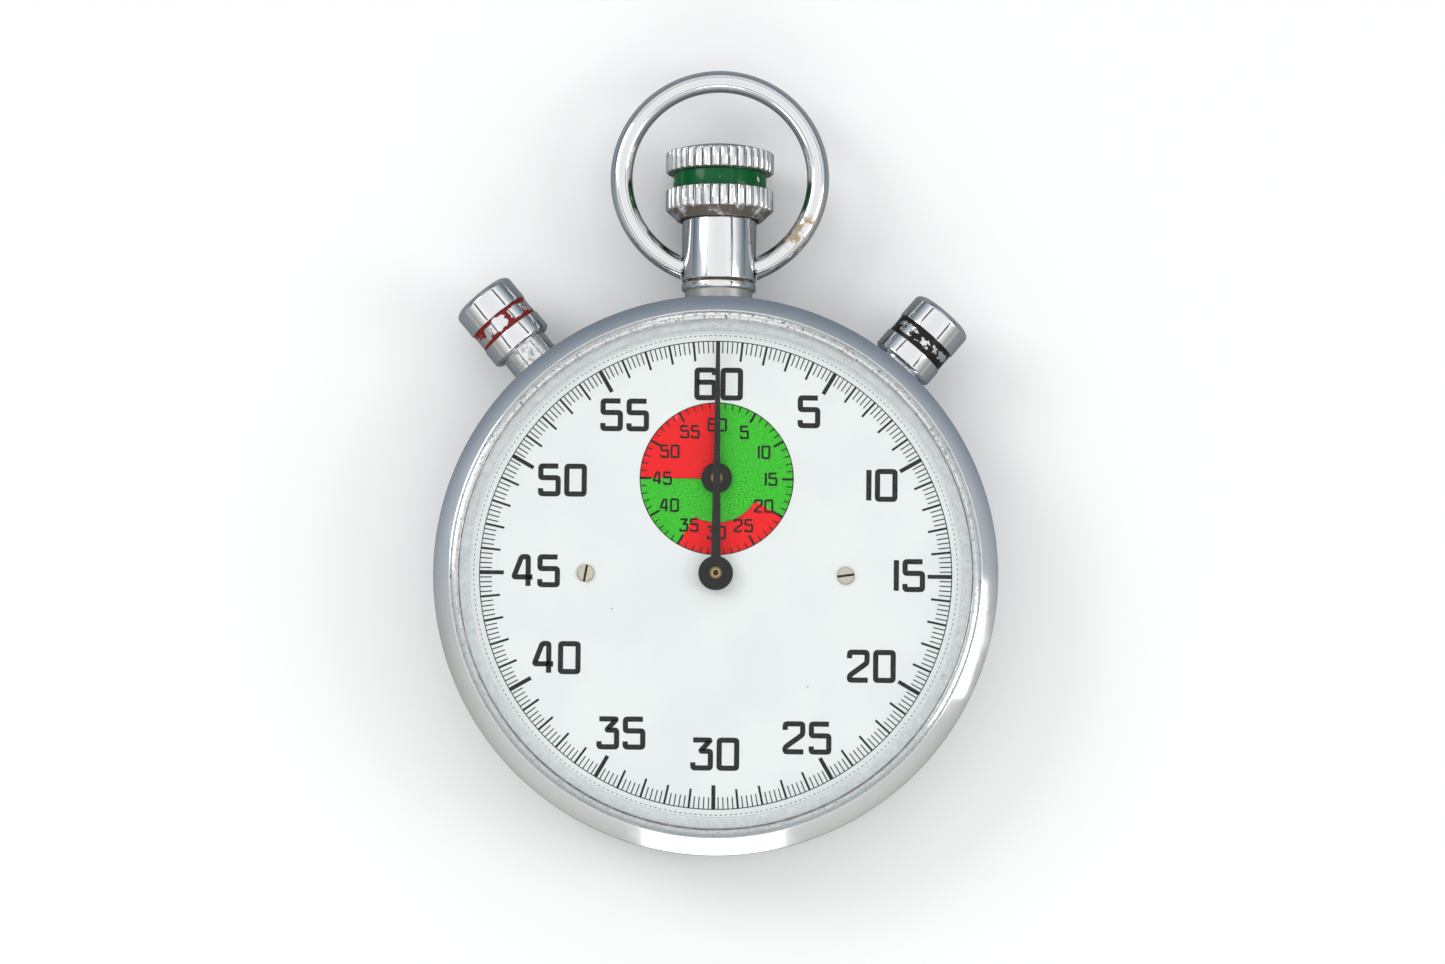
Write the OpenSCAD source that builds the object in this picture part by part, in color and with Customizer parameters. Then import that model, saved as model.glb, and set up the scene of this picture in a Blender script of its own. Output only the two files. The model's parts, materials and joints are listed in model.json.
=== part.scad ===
// Pocket stopwatch: three pushers on a chromed case, thirty-hour style lever movement inside.
// It lies on its back: +Z comes out of the dial, +Y points at 12 o'clock, and the
// origin is the middle of the flat back.

/* [Case] */
// Outer diameter of the bezel, the widest round of the case
case_d = 56; // [50:1:68]
// Height of the flat back above which the case ring starts
back_h = 2.4; // [2:0.1:3]
// Height of the case ring between back cover and bezel
ring_h = 7; // [6.6:0.1:9]
// Wall of the back cover
back_wall = 0.9; // [0.7:0.1:1.1]
// Radial width of the case ring's wall
ring_wall = 3.2; // [2.6:0.1:4]
// Height of the bezel's sloping outer face
bezel_h = 1.3; // [1:0.1:1.8]
// Radial width of the bezel's sloping outer face
bezel_slope_w = 1.6; // [1:0.1:2.4]
// Radial width of the bezel's level land
bezel_land_w = 1; // [0.6:0.1:1.6]

/* [Crystal and dial] */
// Wall of the crystal's upright rim
crystal_wall = 1; // [0.7:0.1:1.3]
// Height of the crystal's upright rim
crystal_rim_h = 1.9; // [1.7:0.1:2.6]
// Rise of the crystal's dome above its rim
crystal_rise = 3.1; // [2:0.1:5]
// Thickness of the crystal at its middle
crystal_t = 1.1; // [0.8:0.1:1.6]
// Thickness of the dial
dial_t = 0.4; // [0.3:0.1:0.5]
// Distance of the minute counter's centre from the middle
counter_y = 9.6; // [9.4:0.1:10]
// Distance of each dial screw from the middle
dial_screw_x = 12.9; // [12:0.1:16]
// Radius of a dial screw's head
dial_screw_r = 0.85; // [0.6:0.05:1]

/* [Hands] */
// Length of the seconds hand from its centre to its tip
seconds_len = 22.9; // [16:0.1:23]
// Radius of the seconds hand's hub
seconds_hub_r = 1.72; // [1.2:0.02:2]
// Length of the minute hand from its centre to its tip
minute_len = 6.9; // [5:0.1:7.4]
// Radius of the minute hand's hub
minute_hub_r = 1.53; // [1:0.01:1.6]
// Thickness of both hands' blades
hand_t = 0.2; // [0.15:0.05:0.3]

/* [Pendant, crown and bow] */
// Height of the crown's and the pushers' axes above the flat back
axis_z = 6; // [5.9:0.05:6.4]
// Radius of the pendant tube
pendant_r = 3.7; // [3.4:0.05:4]
// Length of the pendant beyond the case
pendant_len = 8.4; // [7.6:0.1:10]
// Radius of the crown over its flutes
crown_r = 5.4; // [4.8:0.1:5.8]
// Length of each of the crown's two fluted bands
crown_band = 2.1; // [1.5:0.1:2.5]
// Width of the crown's coloured groove
crown_groove_w = 1.75; // [1.2:0.05:2]
// Number of flutes round the crown
crown_flutes = 36; // [24:1:44]
// Travel of the crown when it is pressed
crown_travel = 1.2; // [0.8:0.1:1.4]
// Radius of the bow's wire
bow_wire_r = 1.1; // [0.8:0.05:1.3]
// Radius of the bow's ring, to the middle of its wire
bow_r = 9.83; // [9.3:0.05:12]
// Distance of the bow's pivot beyond the case
bow_pivot_out = 3.5; // [3:0.1:4.2]

/* [Pushers] */
// Angle between the crown and each pusher
push_angle = 40; // [36:1:48]
// Radius of a pusher's cap
push_r = 3.27; // [3:0.01:3.35]
// Length of a pusher's cap
push_len = 6.7; // [6:0.1:8]
// Distance beyond the case of the bottom of a cap that is out
push_out = 2.2; // [2:0.1:3]
// Travel of a pusher
push_travel = 1.85; // [1.4:0.05:1.9]
// Radius of the fixed tube that a cap slides over
push_tube_r = 2.5; // [2.3:0.05:2.6]

/* [Movement] */
// Radius of the main plate
plate_r = 21.5; // [21.4:0.1:22]
// Thickness of the main plate
plate_t = 2; // [1.6:0.1:2.2]
// Thickness of the bridges
bridge_t = 1.2; // [0.9:0.1:1.3]
// Radius of the balance wheel's rim
balance_r = 5.2; // [4.2:0.1:5.4]
// Radius of the escape wheel over its teeth
escape_r = 2.6; // [2:0.1:2.8]
// Radius of a wheel's arbor
arbor_r = 0.35; // [0.3:0.01:0.4]
// Radius of the pivot at each end of an arbor
pivot_r = 0.18; // [0.12:0.01:0.22]
// Radius of a bearing jewel
jewel_r = 0.6; // [0.5:0.05:0.7]

/* [Fits] */
// Radial clearance of a shaft that turns or slides in a hole
run_gap = 0.05; // [0.02:0.01:0.08]
// Clearance of pieces that are fastened together
seat_gap = 0.02; // [0.01:0.01:0.04]
// Clearance between pieces that pass each other
pass_gap = 0.3; // [0.2:0.05:0.4]

/* [Hidden] */
$fn = 96;
eps = 0.01;

steel = [0.74, 0.75, 0.77];
nickel = [0.80, 0.80, 0.78];
brass = [0.80, 0.66, 0.36];
blued = [0.20, 0.22, 0.30];
ruby = [0.75, 0.10, 0.25];
black = [0.18, 0.19, 0.17];

// ---- Heights, from the flat back upwards ----
case_r = case_d / 2;
ring_top = back_h + ring_h;
ring_in_r = case_r - bezel_slope_w - bezel_land_w - crystal_wall - 0.2;
ring_out_r = ring_in_r + ring_wall;
bezel_top = ring_top + bezel_h;
pendant_y = case_r + pendant_len;
bow_pivot_y = case_r + bow_pivot_out;
push_out_r = case_r + push_out;
back_lip_w = 0.9;
back_lip_h = 0.9;
crystal_r = case_r - bezel_slope_w - bezel_land_w - seat_gap;
crystal_in_r = crystal_r - crystal_wall;
crystal_rim_z = ring_top + seat_gap + crystal_rim_h;
dial_bottom = ring_top - 0.2;
dial_top = dial_bottom + dial_t;
dial_r = ring_in_r - 0.1;
plate_top = dial_bottom;
plate_bottom = plate_top - plate_t;
bridge_top = 3;
bridge_bottom = bridge_top - bridge_t;
bridge_r = plate_r - 0.5;
post_r = 1;
post_ring_r = bridge_r - post_r - 0.3;
winding_z = 1.2;
winding_t = 0.5;
minute_hand_z = dial_top + 0.4;
seconds_hand_z = dial_top + 1.1;
hub_h = 0.45;

// ---- Vertical planes of the train, between bridges and plate ----
wheel_t = 0.35;
pinion_h = 0.55;
barrel_z = bridge_top + 0.3;
barrel_h = 2;
barrel_wall = 0.35;
barrel_teeth_h = 0.5;
seconds_wheel_z = 3.4;
escape_z = 4.2;
idler_z = 4.8;
balance_z = 4.9;
second_wheel_z = 5.5;
minute_wheel_z = 5.5;
hairspring_z = 5.8;
third_wheel_z = 6.05;
lever_z = plate_bottom - 0.6;
lever_t = 0.4;

// ---- Tooth counts and modules ----
barrel_n = 72;
barrel_m = 0.2;
second_pinion_n = 12;
second_n = 80;
second_m = 0.16;
third_pinion_n = 10;
third_n = 75;
third_m = 0.14;
seconds_pinion_n = 10;
seconds_n = 80;
seconds_m = 0.12;
escape_pinion_n = 8;
counter_pinion_n = 8;
idler_n = 60;
minute_n = 64;
counter_m = counter_y / 60;
winding_pinion_n = 12;
crown_face_n = 24;
winding_m = 0.15;
crown_spur_n = 20;
transmission_n = 20;
ratchet_n = 40;
winding_spur_m = 0.3;
escape_teeth = 15;

function gear_gap(n1, n2, m) = m * (n1 + n2) / 2;
function polar(r, a) = [r * cos(a), r * sin(a)];
function bearing(p, q) = atan2(q[1] - p[1], q[0] - p[0]);
// The point at distance dp from p and dq from q, on the side that turn names.
function meet(p, q, dp, dq, turn) =
    let (d = norm(q - p), a = acos((dp * dp + d * d - dq * dq) / (2 * dp * d)))
    p + polar(dp, bearing(p, q) + turn * a);

// ---- Centres of the movement's arbors ----
seconds_c = [0, 0];
minute_c = [0, counter_y];
idler_c = meet(seconds_c, minute_c, gear_gap(counter_pinion_n, idler_n, counter_m),
    gear_gap(counter_pinion_n, minute_n, counter_m), -1);
barrel_c = polar(12.9, 150);
second_c = barrel_c + polar(gear_gap(barrel_n, second_pinion_n, barrel_m), -95);
third_c = meet(seconds_c, second_c, gear_gap(third_n, seconds_pinion_n, third_m),
    gear_gap(second_n, third_pinion_n, second_m), 1);
escape_c = polar(gear_gap(seconds_n, escape_pinion_n, seconds_m), -35);
fork_c = escape_c + polar(escape_r + 0.7, -45);
balance_c = fork_c + polar(3.9, -45);
pinion_y = 17.5;
face_r = winding_m * crown_face_n / 2;
crown_wheel_c = [0, pinion_y - face_r];
transmission_c = meet(crown_wheel_c, barrel_c,
    gear_gap(crown_spur_n, transmission_n, winding_spur_m),
    gear_gap(transmission_n, ratchet_n, winding_spur_m), -1);
hammer_c = [6.2, 16];
stop_c = [-9.4, 17.2];
start_c = [-4.2, 16.2];

plate_jewel_spots = [second_c, third_c, escape_c, balance_c];
jewel_spots = concat(plate_jewel_spots, [fork_c]);
post_angles = [100, 198, 236, 8, 62, -41];

// ================= Shared shapes =================

// Turns what is drawn along +Z so that it points outwards at an angle from 12 o'clock,
// with its own origin on the watch's middle at the crown's height.
module outward(turn) {
    translate([0, 0, axis_z]) rotate([0, 0, turn]) rotate([-90, 0, 0]) children();
}

module ring(r, bore, h) {
    linear_extrude(h) difference() {
        circle(r);
        circle(bore);
    }
}

module at(p, z) {
    translate([p[0], p[1], z]) children();
}

module bar2d(p, q, w) {
    translate(p) circle(w / 2);
    translate(q) circle(w / 2);
    translate(p) rotate(bearing(p, q)) translate([0, -w / 2]) square([norm(q - p), w]);
}

// Outline of a gear with one tooth pointing at the angle a.
function gear_points(n, m, a) = [
    for (i = [0:n - 1], k = [-2, -1, 1, 2])
        polar(abs(k) == 2 ? m * (n / 2 - 1.1) : m * (n / 2 + 0.9),
            a + (i + (abs(k) == 2 ? 0.23 : 0.11) * sign(k)) * 360 / n)
];

module gear2d(n, m, a) {
    polygon(gear_points(n, m, a));
}

// A spoked wheel, with a tooth at the angle a.
module wheel2d(n, m, a, spokes) {
    rim_r = m * (n / 2 - 1.1) - 0.45;
    hub_r = arbor_r + 0.45;
    difference() {
        gear2d(n, m, a);
        difference() {
            circle(rim_r);
            circle(hub_r);
            for (i = [0:spokes - 1])
                rotate(i * 360 / spokes + 20) translate([0, -0.2]) square([rim_r + eps, 0.4]);
        }
    }
}

// A pinion with a gap that faces the angle a.
module pinion(n, m, a, z) {
    translate([0, 0, z]) linear_extrude(pinion_h) gear2d(n, m, a + 180 / n);
}

// An arbor between bridge and plate, with a pivot in each jewel.
module arbor() {
    translate([0, 0, bridge_top + 0.1]) cylinder(r = arbor_r, h = plate_bottom - bridge_top - 0.2);
    translate([0, 0, bridge_top - 0.4])
        cylinder(r = pivot_r, h = plate_bottom - bridge_top + 0.8);
}

// Strip of constant thickness t wound from radius r1 to r2.
module spiral2d(r1, r2, turns, t) {
    steps = round(turns * 20);
    inner = [for (i = [0:steps]) polar(r1 + (r2 - r1) * i / steps - t / 2, turns * 360 * i / steps)];
    outer = [for (i = [steps:-1:0])
        polar(r1 + (r2 - r1) * i / steps + t / 2, turns * 360 * i / steps)];
    polygon(concat(inner, outer));
}

// Round-wire coil along +Z, swept ring by ring.
module coil(r, wire_r, length, turns) {
    sides = 8;
    per_turn = 16;
    steps = per_turn * turns;
    rise = (length - 2 * wire_r) / steps;
    points = [for (i = [0:steps], k = [0:sides - 1])
        let (w = r + wire_r * cos(k * 360 / sides))
        [w * cos(i * 360 / per_turn), w * sin(i * 360 / per_turn),
            wire_r + i * rise + wire_r * sin(k * 360 / sides)]];
    walls = [for (i = [0:steps - 1], k = [0:sides - 1])
        let (n = (k + 1) % sides)
        [i * sides + k, (i + 1) * sides + k, (i + 1) * sides + n, i * sides + n]];
    caps = [[for (k = [0:sides - 1]) k], [for (k = [sides - 1:-1:0]) steps * sides + k]];
    polyhedron(points, concat(walls, caps), convexity = 8);
}

// ================= Case =================

module case_middle() color(steel) difference() {
    rotate_extrude() difference() {
        union() {
            translate([ring_in_r, back_h]) square([ring_wall - 0.6, ring_h]);
            intersection() {
                translate([ring_in_r, back_h]) square([ring_wall, ring_h]);
                translate([ring_out_r - ring_h * 0.8, back_h + ring_h / 2])
                    circle(ring_h * 0.8);
            }
        }
        translate([ring_in_r - eps, back_h - eps])
            square([back_lip_w + eps, back_lip_h + 0.1]);
    }
    outward(0) translate([0, 0, ring_in_r - 1]) cylinder(r = collar_r + seat_gap, h = 6);
    for (s = [-1, 1])
        outward(s * push_angle) translate([0, 0, ring_in_r - 1])
            cylinder(r = push_tube_r + seat_gap, h = 6);
}

module bezel() color(steel) rotate_extrude() polygon([
    [crystal_r + seat_gap, ring_top],
    [case_r, ring_top],
    [case_r, ring_top + 0.25],
    [case_r - bezel_slope_w + 0.1, bezel_top],
    [case_r - bezel_slope_w - 0.05, bezel_top],
    [case_r - bezel_slope_w - 0.15, bezel_top - 0.25],
    [crystal_r + seat_gap, bezel_top - 0.5],
]);

// A dome over a disc of radius r that rises by rise, its disc at z = 0.
module dome(r, rise) {
    big_r = (r * r + rise * rise) / (2 * rise);
    intersection() {
        cylinder(r = r, h = rise);
        translate([0, 0, rise - big_r]) sphere(big_r, $fn = 240);
    }
}

// Half outline of a dome from its edge to its top, or from its top to its edge.
function dome_points(r, rise, z, steps) =
    let (big_r = (r * r + rise * rise) / (2 * rise))
    [for (i = steps) let (a = i * asin(r / big_r))
        [big_r * sin(a), z + rise - big_r * (1 - cos(a))]];

module crystal() color([0.85, 0.9, 0.92, 0.3]) rotate_extrude() polygon(concat(
    [[crystal_in_r, ring_top + seat_gap], [crystal_r, ring_top + seat_gap]],
    dome_points(crystal_r, crystal_rise, crystal_rim_z, [1:-1 / 24:0]),
    dome_points(crystal_in_r, crystal_rise + 0.2 - crystal_t, crystal_rim_z - 0.2,
        [0:1 / 24:1])));

back_flat_r = case_r - 6.6;
back_edge_r = ring_out_r - 0.5;
back_in_r = ring_in_r + 0.4;
back_lip_r = ring_in_r + back_lip_w - seat_gap;
// Curve of the cover's side, from the flat out to the ring; t runs from 0 to 90.
function back_curve(flat_r, edge_r, low, high, t) =
    [flat_r + (edge_r - flat_r) * sin(t), low + (high - low) * (1 - cos(t))];

module back_cover() color(steel) rotate_extrude() polygon(concat(
    [[0, 0]],
    [for (t = [0:10:90]) back_curve(back_flat_r, back_edge_r, 0, back_h - 0.4, t)],
    [[back_edge_r, back_h], [back_lip_r, back_h], [back_lip_r, back_h + back_lip_h],
        [back_in_r, back_h + back_lip_h]],
    [for (t = [90:-10:0]) back_curve(back_flat_r, back_in_r, back_wall, back_h, t)],
    [[0, back_wall]]));

module movement_ring() color(brass) translate([0, 0, plate_bottom])
    ring(ring_in_r - seat_gap, plate_r + seat_gap, plate_t);

// ================= Pendant, crown and bow =================

collar_r = 3.35;
sleeve_r = 2.3;
stem_r = 0.9;
stem_tip_r = 0.5;
stem_step_y = ring_in_r + 0.4;
collar_y = ring_in_r + back_lip_w + 0.05;
crown_bottom_y = pendant_y - 0.3;
crown_recess_y = pendant_y + crown_travel + pass_gap;
sleeve_bottom_y = crown_recess_y - 9;
spring_bottom_y = collar_y + 0.6;
spring_top_y = sleeve_bottom_y - crown_travel - 0.1;
neck_y = case_r + 0.9;
bow_pin_r = 0.8;
bow_pin_depth = 0.9;

module pendant_tube() color(steel) difference() {
    outward(0) union() {
        translate([0, 0, collar_y]) cylinder(r = collar_r, h = neck_y - collar_y + 0.2);
        translate([0, 0, neck_y]) cylinder(r1 = pendant_r - 0.25, r2 = pendant_r, h = 0.25);
        translate([0, 0, neck_y + 0.25]) cylinder(r = pendant_r, h = pendant_y - neck_y - 0.45);
        translate([0, 0, pendant_y - 0.2])
            cylinder(r1 = pendant_r, r2 = pendant_r - 0.2, h = 0.2);
    }
    outward(0) translate([0, 0, collar_y + 0.5]) cylinder(r = sleeve_r + run_gap, h = pendant_y);
    outward(0) cylinder(r = stem_r + run_gap, h = pendant_y + 1);
    for (s = [-1, 1])
        translate([s * (pendant_r - bow_pin_depth), bow_pivot_y, axis_z])
            rotate([0, s * 90, 0]) cylinder(r = bow_pin_r + run_gap, h = 3);
}

// The ring's centre sits where its wire comes down on the pivots.
bow_face_x = pendant_r + 0.1;
bow_end_x = bow_face_x + 0.35;
bow_c_y = bow_pivot_y + sqrt(bow_r * bow_r - bow_end_x * bow_end_x);

module bow() color(steel) translate([0, 0, axis_z]) {
    difference() {
        translate([0, bow_c_y, 0]) rotate_extrude() translate([bow_r, 0]) circle(bow_wire_r);
        translate([-bow_face_x, 0, -5]) cube([2 * bow_face_x, bow_c_y, 10]);
    }
    for (s = [-1, 1]) translate([0, bow_pivot_y, 0]) rotate([0, s * 90, 0])
        translate([0, 0, pendant_r - bow_pin_depth + 0.1])
            cylinder(r = bow_pin_r, h = bow_pin_depth + 0.5);
}

module fluted(h) {
    linear_extrude(h) difference() {
        circle(crown_r);
        for (i = [0:crown_flutes - 1])
            rotate(i * 360 / crown_flutes) translate([crown_r + 0.06, 0]) circle(0.3, $fn = 24);
    }
}

crown_bevel = 0.9;
crown_groove_y = crown_bottom_y + crown_bevel + crown_band;
crown_top_y = crown_groove_y + crown_groove_w + crown_band;
crown_core_r = crown_r - 0.95;
crown_paint_t = 0.2;
crown_dome_h = 1.5;

module crown() color(steel) outward(0) difference() {
    union() {
        translate([0, 0, crown_bottom_y])
            cylinder(r1 = crown_r - 1.1, r2 = crown_r - 0.25, h = crown_bevel);
        translate([0, 0, crown_bottom_y + crown_bevel]) fluted(crown_band);
        translate([0, 0, crown_groove_y]) cylinder(r = crown_core_r, h = crown_groove_w);
        translate([0, 0, crown_groove_y + crown_groove_w]) fluted(crown_band);
        translate([0, 0, crown_top_y]) dome(crown_r - 0.35, crown_dome_h);
    }
    translate([0, 0, crown_bottom_y - 1])
        cylinder(r = pendant_r + 0.2, h = crown_recess_y - crown_bottom_y + 1);
    translate([0, 0, crown_bottom_y]) cylinder(r = stem_r + seat_gap, h = 4);
}

module crown_colour_ring() color([0, 0.42, 0.21]) outward(0)
    translate([0, 0, crown_groove_y + seat_gap])
        ring(crown_core_r + crown_paint_t, crown_core_r + seat_gap / 2, crown_groove_w - 2 * seat_gap);

module winding_stem() color(steel) outward(0) {
    translate([0, 0, stem_step_y])
        cylinder(r = stem_r, h = crown_bottom_y + 4 - stem_step_y);
    translate([0, 0, crown_wheel_c[1] + 0.6])
        cylinder(r = stem_tip_r, h = stem_step_y - crown_wheel_c[1]);
}

module crown_sleeve() color(brass) outward(0) translate([0, 0, sleeve_bottom_y])
    ring(sleeve_r, stem_r + run_gap, crown_recess_y - run_gap - sleeve_bottom_y);

module crown_return_spring() color(steel) outward(0) translate([0, 0, spring_bottom_y])
    coil(1.65, 0.25, spring_top_y - spring_bottom_y, 2);

// ================= Pushers =================

// Every distance along a pusher counts from the middle of the watch, with the cap out.
push_recess = push_travel + 0.35;
push_tube_top = push_out_r + 0.2;
push_tube_bottom = ring_in_r + 0.1;
push_floor = 0.5;
push_stem_r = 1.3;
push_tip_r = 0.8;
push_collar_r = 1.9;
push_collar_h = 0.5;
push_guide = 1.9;
push_tip_y = 19.4;
push_groove_y = 2;
push_groove_w = 1.9;
push_groove_depth = 0.32;
push_paint_t = 0.2;
push_collar_top = push_tube_top - push_guide - 0.1;

module push_cap(in) color(steel) translate([0, 0, push_out_r - in]) difference() {
    rotate_extrude() polygon([
        [0, 0], [push_r - 0.2, 0], [push_r, 0.2], [push_r, push_groove_y],
        [push_r - push_groove_depth, push_groove_y],
        [push_r - push_groove_depth, push_groove_y + push_groove_w],
        [push_r, push_groove_y + push_groove_w], [push_r, push_len - 0.45],
        [push_r - 0.15, push_len - 0.2], [push_r - 0.5, push_len], [0, push_len + 0.15],
    ]);
    translate([0, 0, -1]) cylinder(r = push_tube_r + 0.08, h = push_recess + 1);
    cylinder(r = push_stem_r + seat_gap, h = push_recess + 2);
}

module push_ring(in) translate([0, 0, push_out_r - in + push_groove_y + seat_gap])
    ring(push_r - push_groove_depth + push_paint_t, push_r - push_groove_depth + seat_gap / 2,
        push_groove_w - 2 * seat_gap);

module push_stem(in) color(steel) translate([0, 0, -in]) {
    translate([0, 0, push_tip_y]) cylinder(r = push_tip_r, h = push_collar_top - push_tip_y);
    translate([0, 0, push_collar_top - push_collar_h])
        cylinder(r = push_collar_r, h = push_collar_h);
    translate([0, 0, push_collar_top])
        cylinder(r = push_stem_r, h = push_out_r + push_recess + 2 - push_collar_top);
}

module push_tube() color(brass) difference() {
    translate([0, 0, push_tube_bottom]) cylinder(r = push_tube_r, h = push_tube_top - push_tube_bottom);
    translate([0, 0, push_tube_bottom - 1]) cylinder(r = push_tip_r + run_gap, h = 9);
    translate([0, 0, push_tube_bottom + push_floor])
        cylinder(r = push_collar_r + 0.1, h = push_collar_top + 0.1 - push_tube_bottom - push_floor);
    translate([0, 0, push_collar_top]) cylinder(r = push_stem_r + run_gap, h = 6);
}

module push_spring() color(steel) translate([0, 0, push_tube_bottom + push_floor + 0.02])
    coil(1.4, 0.2, push_collar_top - push_collar_h - push_travel - 0.1 - push_tube_bottom - push_floor, 2);

module left_push_cap() outward(push_angle) push_cap(0);
module left_push_ring() color([0.48, 0.11, 0.11]) outward(push_angle) push_ring(0);
module left_push_stem() outward(push_angle) push_stem(0);
module left_push_tube() outward(push_angle) push_tube();
module left_push_spring() outward(push_angle) push_spring();
module right_push_cap() outward(-push_angle) push_cap(push_travel);
module right_push_ring() color(black) outward(-push_angle) push_ring(push_travel);
module right_push_stem() outward(-push_angle) push_stem(push_travel);
module right_push_tube() outward(-push_angle) push_tube();
module right_push_spring() outward(-push_angle) push_spring();

// ================= Dial and hands =================

seconds_tube_r = 0.6;
minute_tube_r = 0.5;
dial_screw_shank_r = 0.35;
dial_screw_h = 0.3;

module dial() color([0.91, 0.92, 0.92]) translate([0, 0, dial_bottom])
    linear_extrude(dial_t) difference() {
        circle(dial_r);
        circle(seconds_tube_r + 0.15);
        translate(minute_c) circle(minute_tube_r + 0.15);
        for (s = [-1, 1]) translate([s * dial_screw_x, 0]) circle(dial_screw_shank_r + seat_gap);
    }

module dial_screws() color(nickel) for (s = [-1, 1]) translate([s * dial_screw_x, 0, dial_top])
    difference() {
        union() {
            cylinder(r = dial_screw_r, h = dial_screw_h);
            translate([0, 0, -1.4]) cylinder(r = dial_screw_shank_r, h = 1.5);
        }
        rotate(s > 0 ? 8 : 80)
            translate([-2, -0.1, dial_screw_h - 0.15]) cube([4, 0.2, 1]);
    }

// A hand that points at 12 o'clock from its own centre.
module hand(len, hub_r, root_w, mid_w, tip_w, bore, z) {
    translate([0, 0, z]) linear_extrude(hand_t) difference() {
        union() {
            circle(hub_r);
            polygon([[-root_w / 2, 0], [root_w / 2, 0], [mid_w / 2, len * 0.28],
                [tip_w / 2, len], [-tip_w / 2, len], [-mid_w / 2, len * 0.28]]);
        }
        circle(bore);
    }
    translate([0, 0, z + hand_t - eps]) ring(bore + 0.35, bore, hub_h - hand_t);
}

module seconds_hand() color(black)
    hand(seconds_len, seconds_hub_r, 1.26, 0.6, 0.3, seconds_tube_r + seat_gap / 2, seconds_hand_z);

module minute_hand() color(black) translate([0, counter_y, 0])
    hand(minute_len, minute_hub_r, 0.95, 0.55, 0.22, minute_tube_r + seat_gap / 2, minute_hand_z);

// ================= Plates and bridges =================

screw_r = 0.4;
screw_head_r = 0.85;

module sector2d(from, to) {
    far = 2 * bridge_r;
    steps = ceil((to - from) / 30);
    intersection() {
        circle(bridge_r);
        polygon(concat([[0, 0]],
            [for (i = [0:steps]) polar(far, from + (to - from) * i / steps)]));
    }
}

// Holes that every bridge has in common: a pocket for each jewel and each screw's shank.
module bridge_holes() {
    for (p = jewel_spots) at(p, bridge_top - 0.5) cylinder(r = jewel_r + seat_gap, h = 1);
    for (p = jewel_spots) at(p, 0) cylinder(r = pivot_r + 0.1, h = bridge_top);
    for (a = post_angles) at(polar(post_ring_r, a), 0) cylinder(r = screw_r + seat_gap, h = 20);
}

module post(a) {
    at(polar(post_ring_r, a), bridge_top - eps)
        cylinder(r = post_r, h = plate_bottom - bridge_top + eps);
}

module slab() {
    translate([0, 0, bridge_bottom]) linear_extrude(bridge_t) children();
}

module main_plate() color(brass) difference() {
    translate([0, 0, plate_bottom]) cylinder(r = plate_r, h = plate_t);
    cylinder(r = seconds_tube_r + run_gap, h = 20);
    at(minute_c, 0) cylinder(r = minute_tube_r + run_gap, h = 20);
    at(barrel_c, plate_bottom - 1) cylinder(r = barrel_arbor_r + run_gap, h = 1.8);
    for (p = plate_jewel_spots) at(p, plate_bottom - 0.5)
        cylinder(r = jewel_r + seat_gap, h = 1);
    for (a = post_angles)
        at(polar(post_ring_r, a), plate_bottom - 1) cylinder(r = screw_r + seat_gap, h = 2.2);
    for (s = [-1, 1])
        at([s * dial_screw_x, 0], plate_top - 1.2) cylinder(r = dial_screw_shank_r + seat_gap, h = 2);
    for (p = [hammer_c, stop_c, start_c])
        at(p, plate_bottom - 1) cylinder(r = lever_pin_r + seat_gap, h = 1.8);
}

split = 1.1;

// The parts of the train bridge that reach into the barrel bridge's side.
module train_islands(grow) {
    circle(4.8 + grow);
    translate(third_c) circle(jewel_r + 1.2 + grow);
    translate(minute_c) circle(2.2 + grow);
    bar2d(seconds_c, minute_c, 3.6 + 2 * grow);
    bar2d(seconds_c, third_c, 3.6 + 2 * grow);
}

module barrel_bridge() color(nickel) difference() {
    union() {
        slab() difference() {
            sector2d(78, 206);
            train_islands(0.2);
        }
        post(post_angles[0]);
        post(post_angles[1]);
        at(transmission_c, winding_z)
            cylinder(r = transmission_stud_r, h = bridge_bottom - winding_z + eps);
    }
    bridge_holes();
    at(barrel_c, 0) cylinder(r = barrel_arbor_r + run_gap, h = 20);
    at(crown_wheel_c, 0) cylinder(r = crown_arbor_r + run_gap, h = 20);
    for (p = [click_c, click_spring_c])
        at(p, bridge_bottom - 1) cylinder(r = click_pin_r + seat_gap, h = 1.8);
}

balance_angle = bearing([0, 0], balance_c);

module train_bridge() color(nickel) difference() {
    union() {
        slab() difference() {
            union() {
                sector2d(206 + split, 206 + 180);
                sector2d(20, 78 - split);
                train_islands(0);
            }
            translate(balance_c) circle(balance_r + 1.2);
            rotate(balance_angle) translate([norm(balance_c), -balance_r + 0.2])
                square([20, 2 * balance_r - 0.4]);
            translate(crown_wheel_c) circle(crown_spur_n * winding_spur_m / 2 + 0.6);
        }
        for (i = [2, 3, 4]) post(post_angles[i]);
        at(idler_c, bridge_top - eps) cylinder(r = idler_stud_r, h = idler_top - bridge_top);
    }
    bridge_holes();
    for (p = [seconds_c, minute_c])
        at(p, bridge_top - 0.6) cylinder(r = pivot_r + run_gap, h = 2);
}
idler_stud_r = 0.3;
idler_top = minute_wheel_z + pinion_h + 0.1;

module balance_cock() color(nickel) difference() {
    union() {
        slab() {
            intersection() {
                circle(bridge_r);
                rotate(balance_angle) translate([norm(balance_c), -3]) square([20, 6]);
            }
            bar2d(fork_c, balance_c, 3);
            translate(balance_c) circle(3.4);
        }
        post(post_angles[5]);
    }
    bridge_holes();
}

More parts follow.
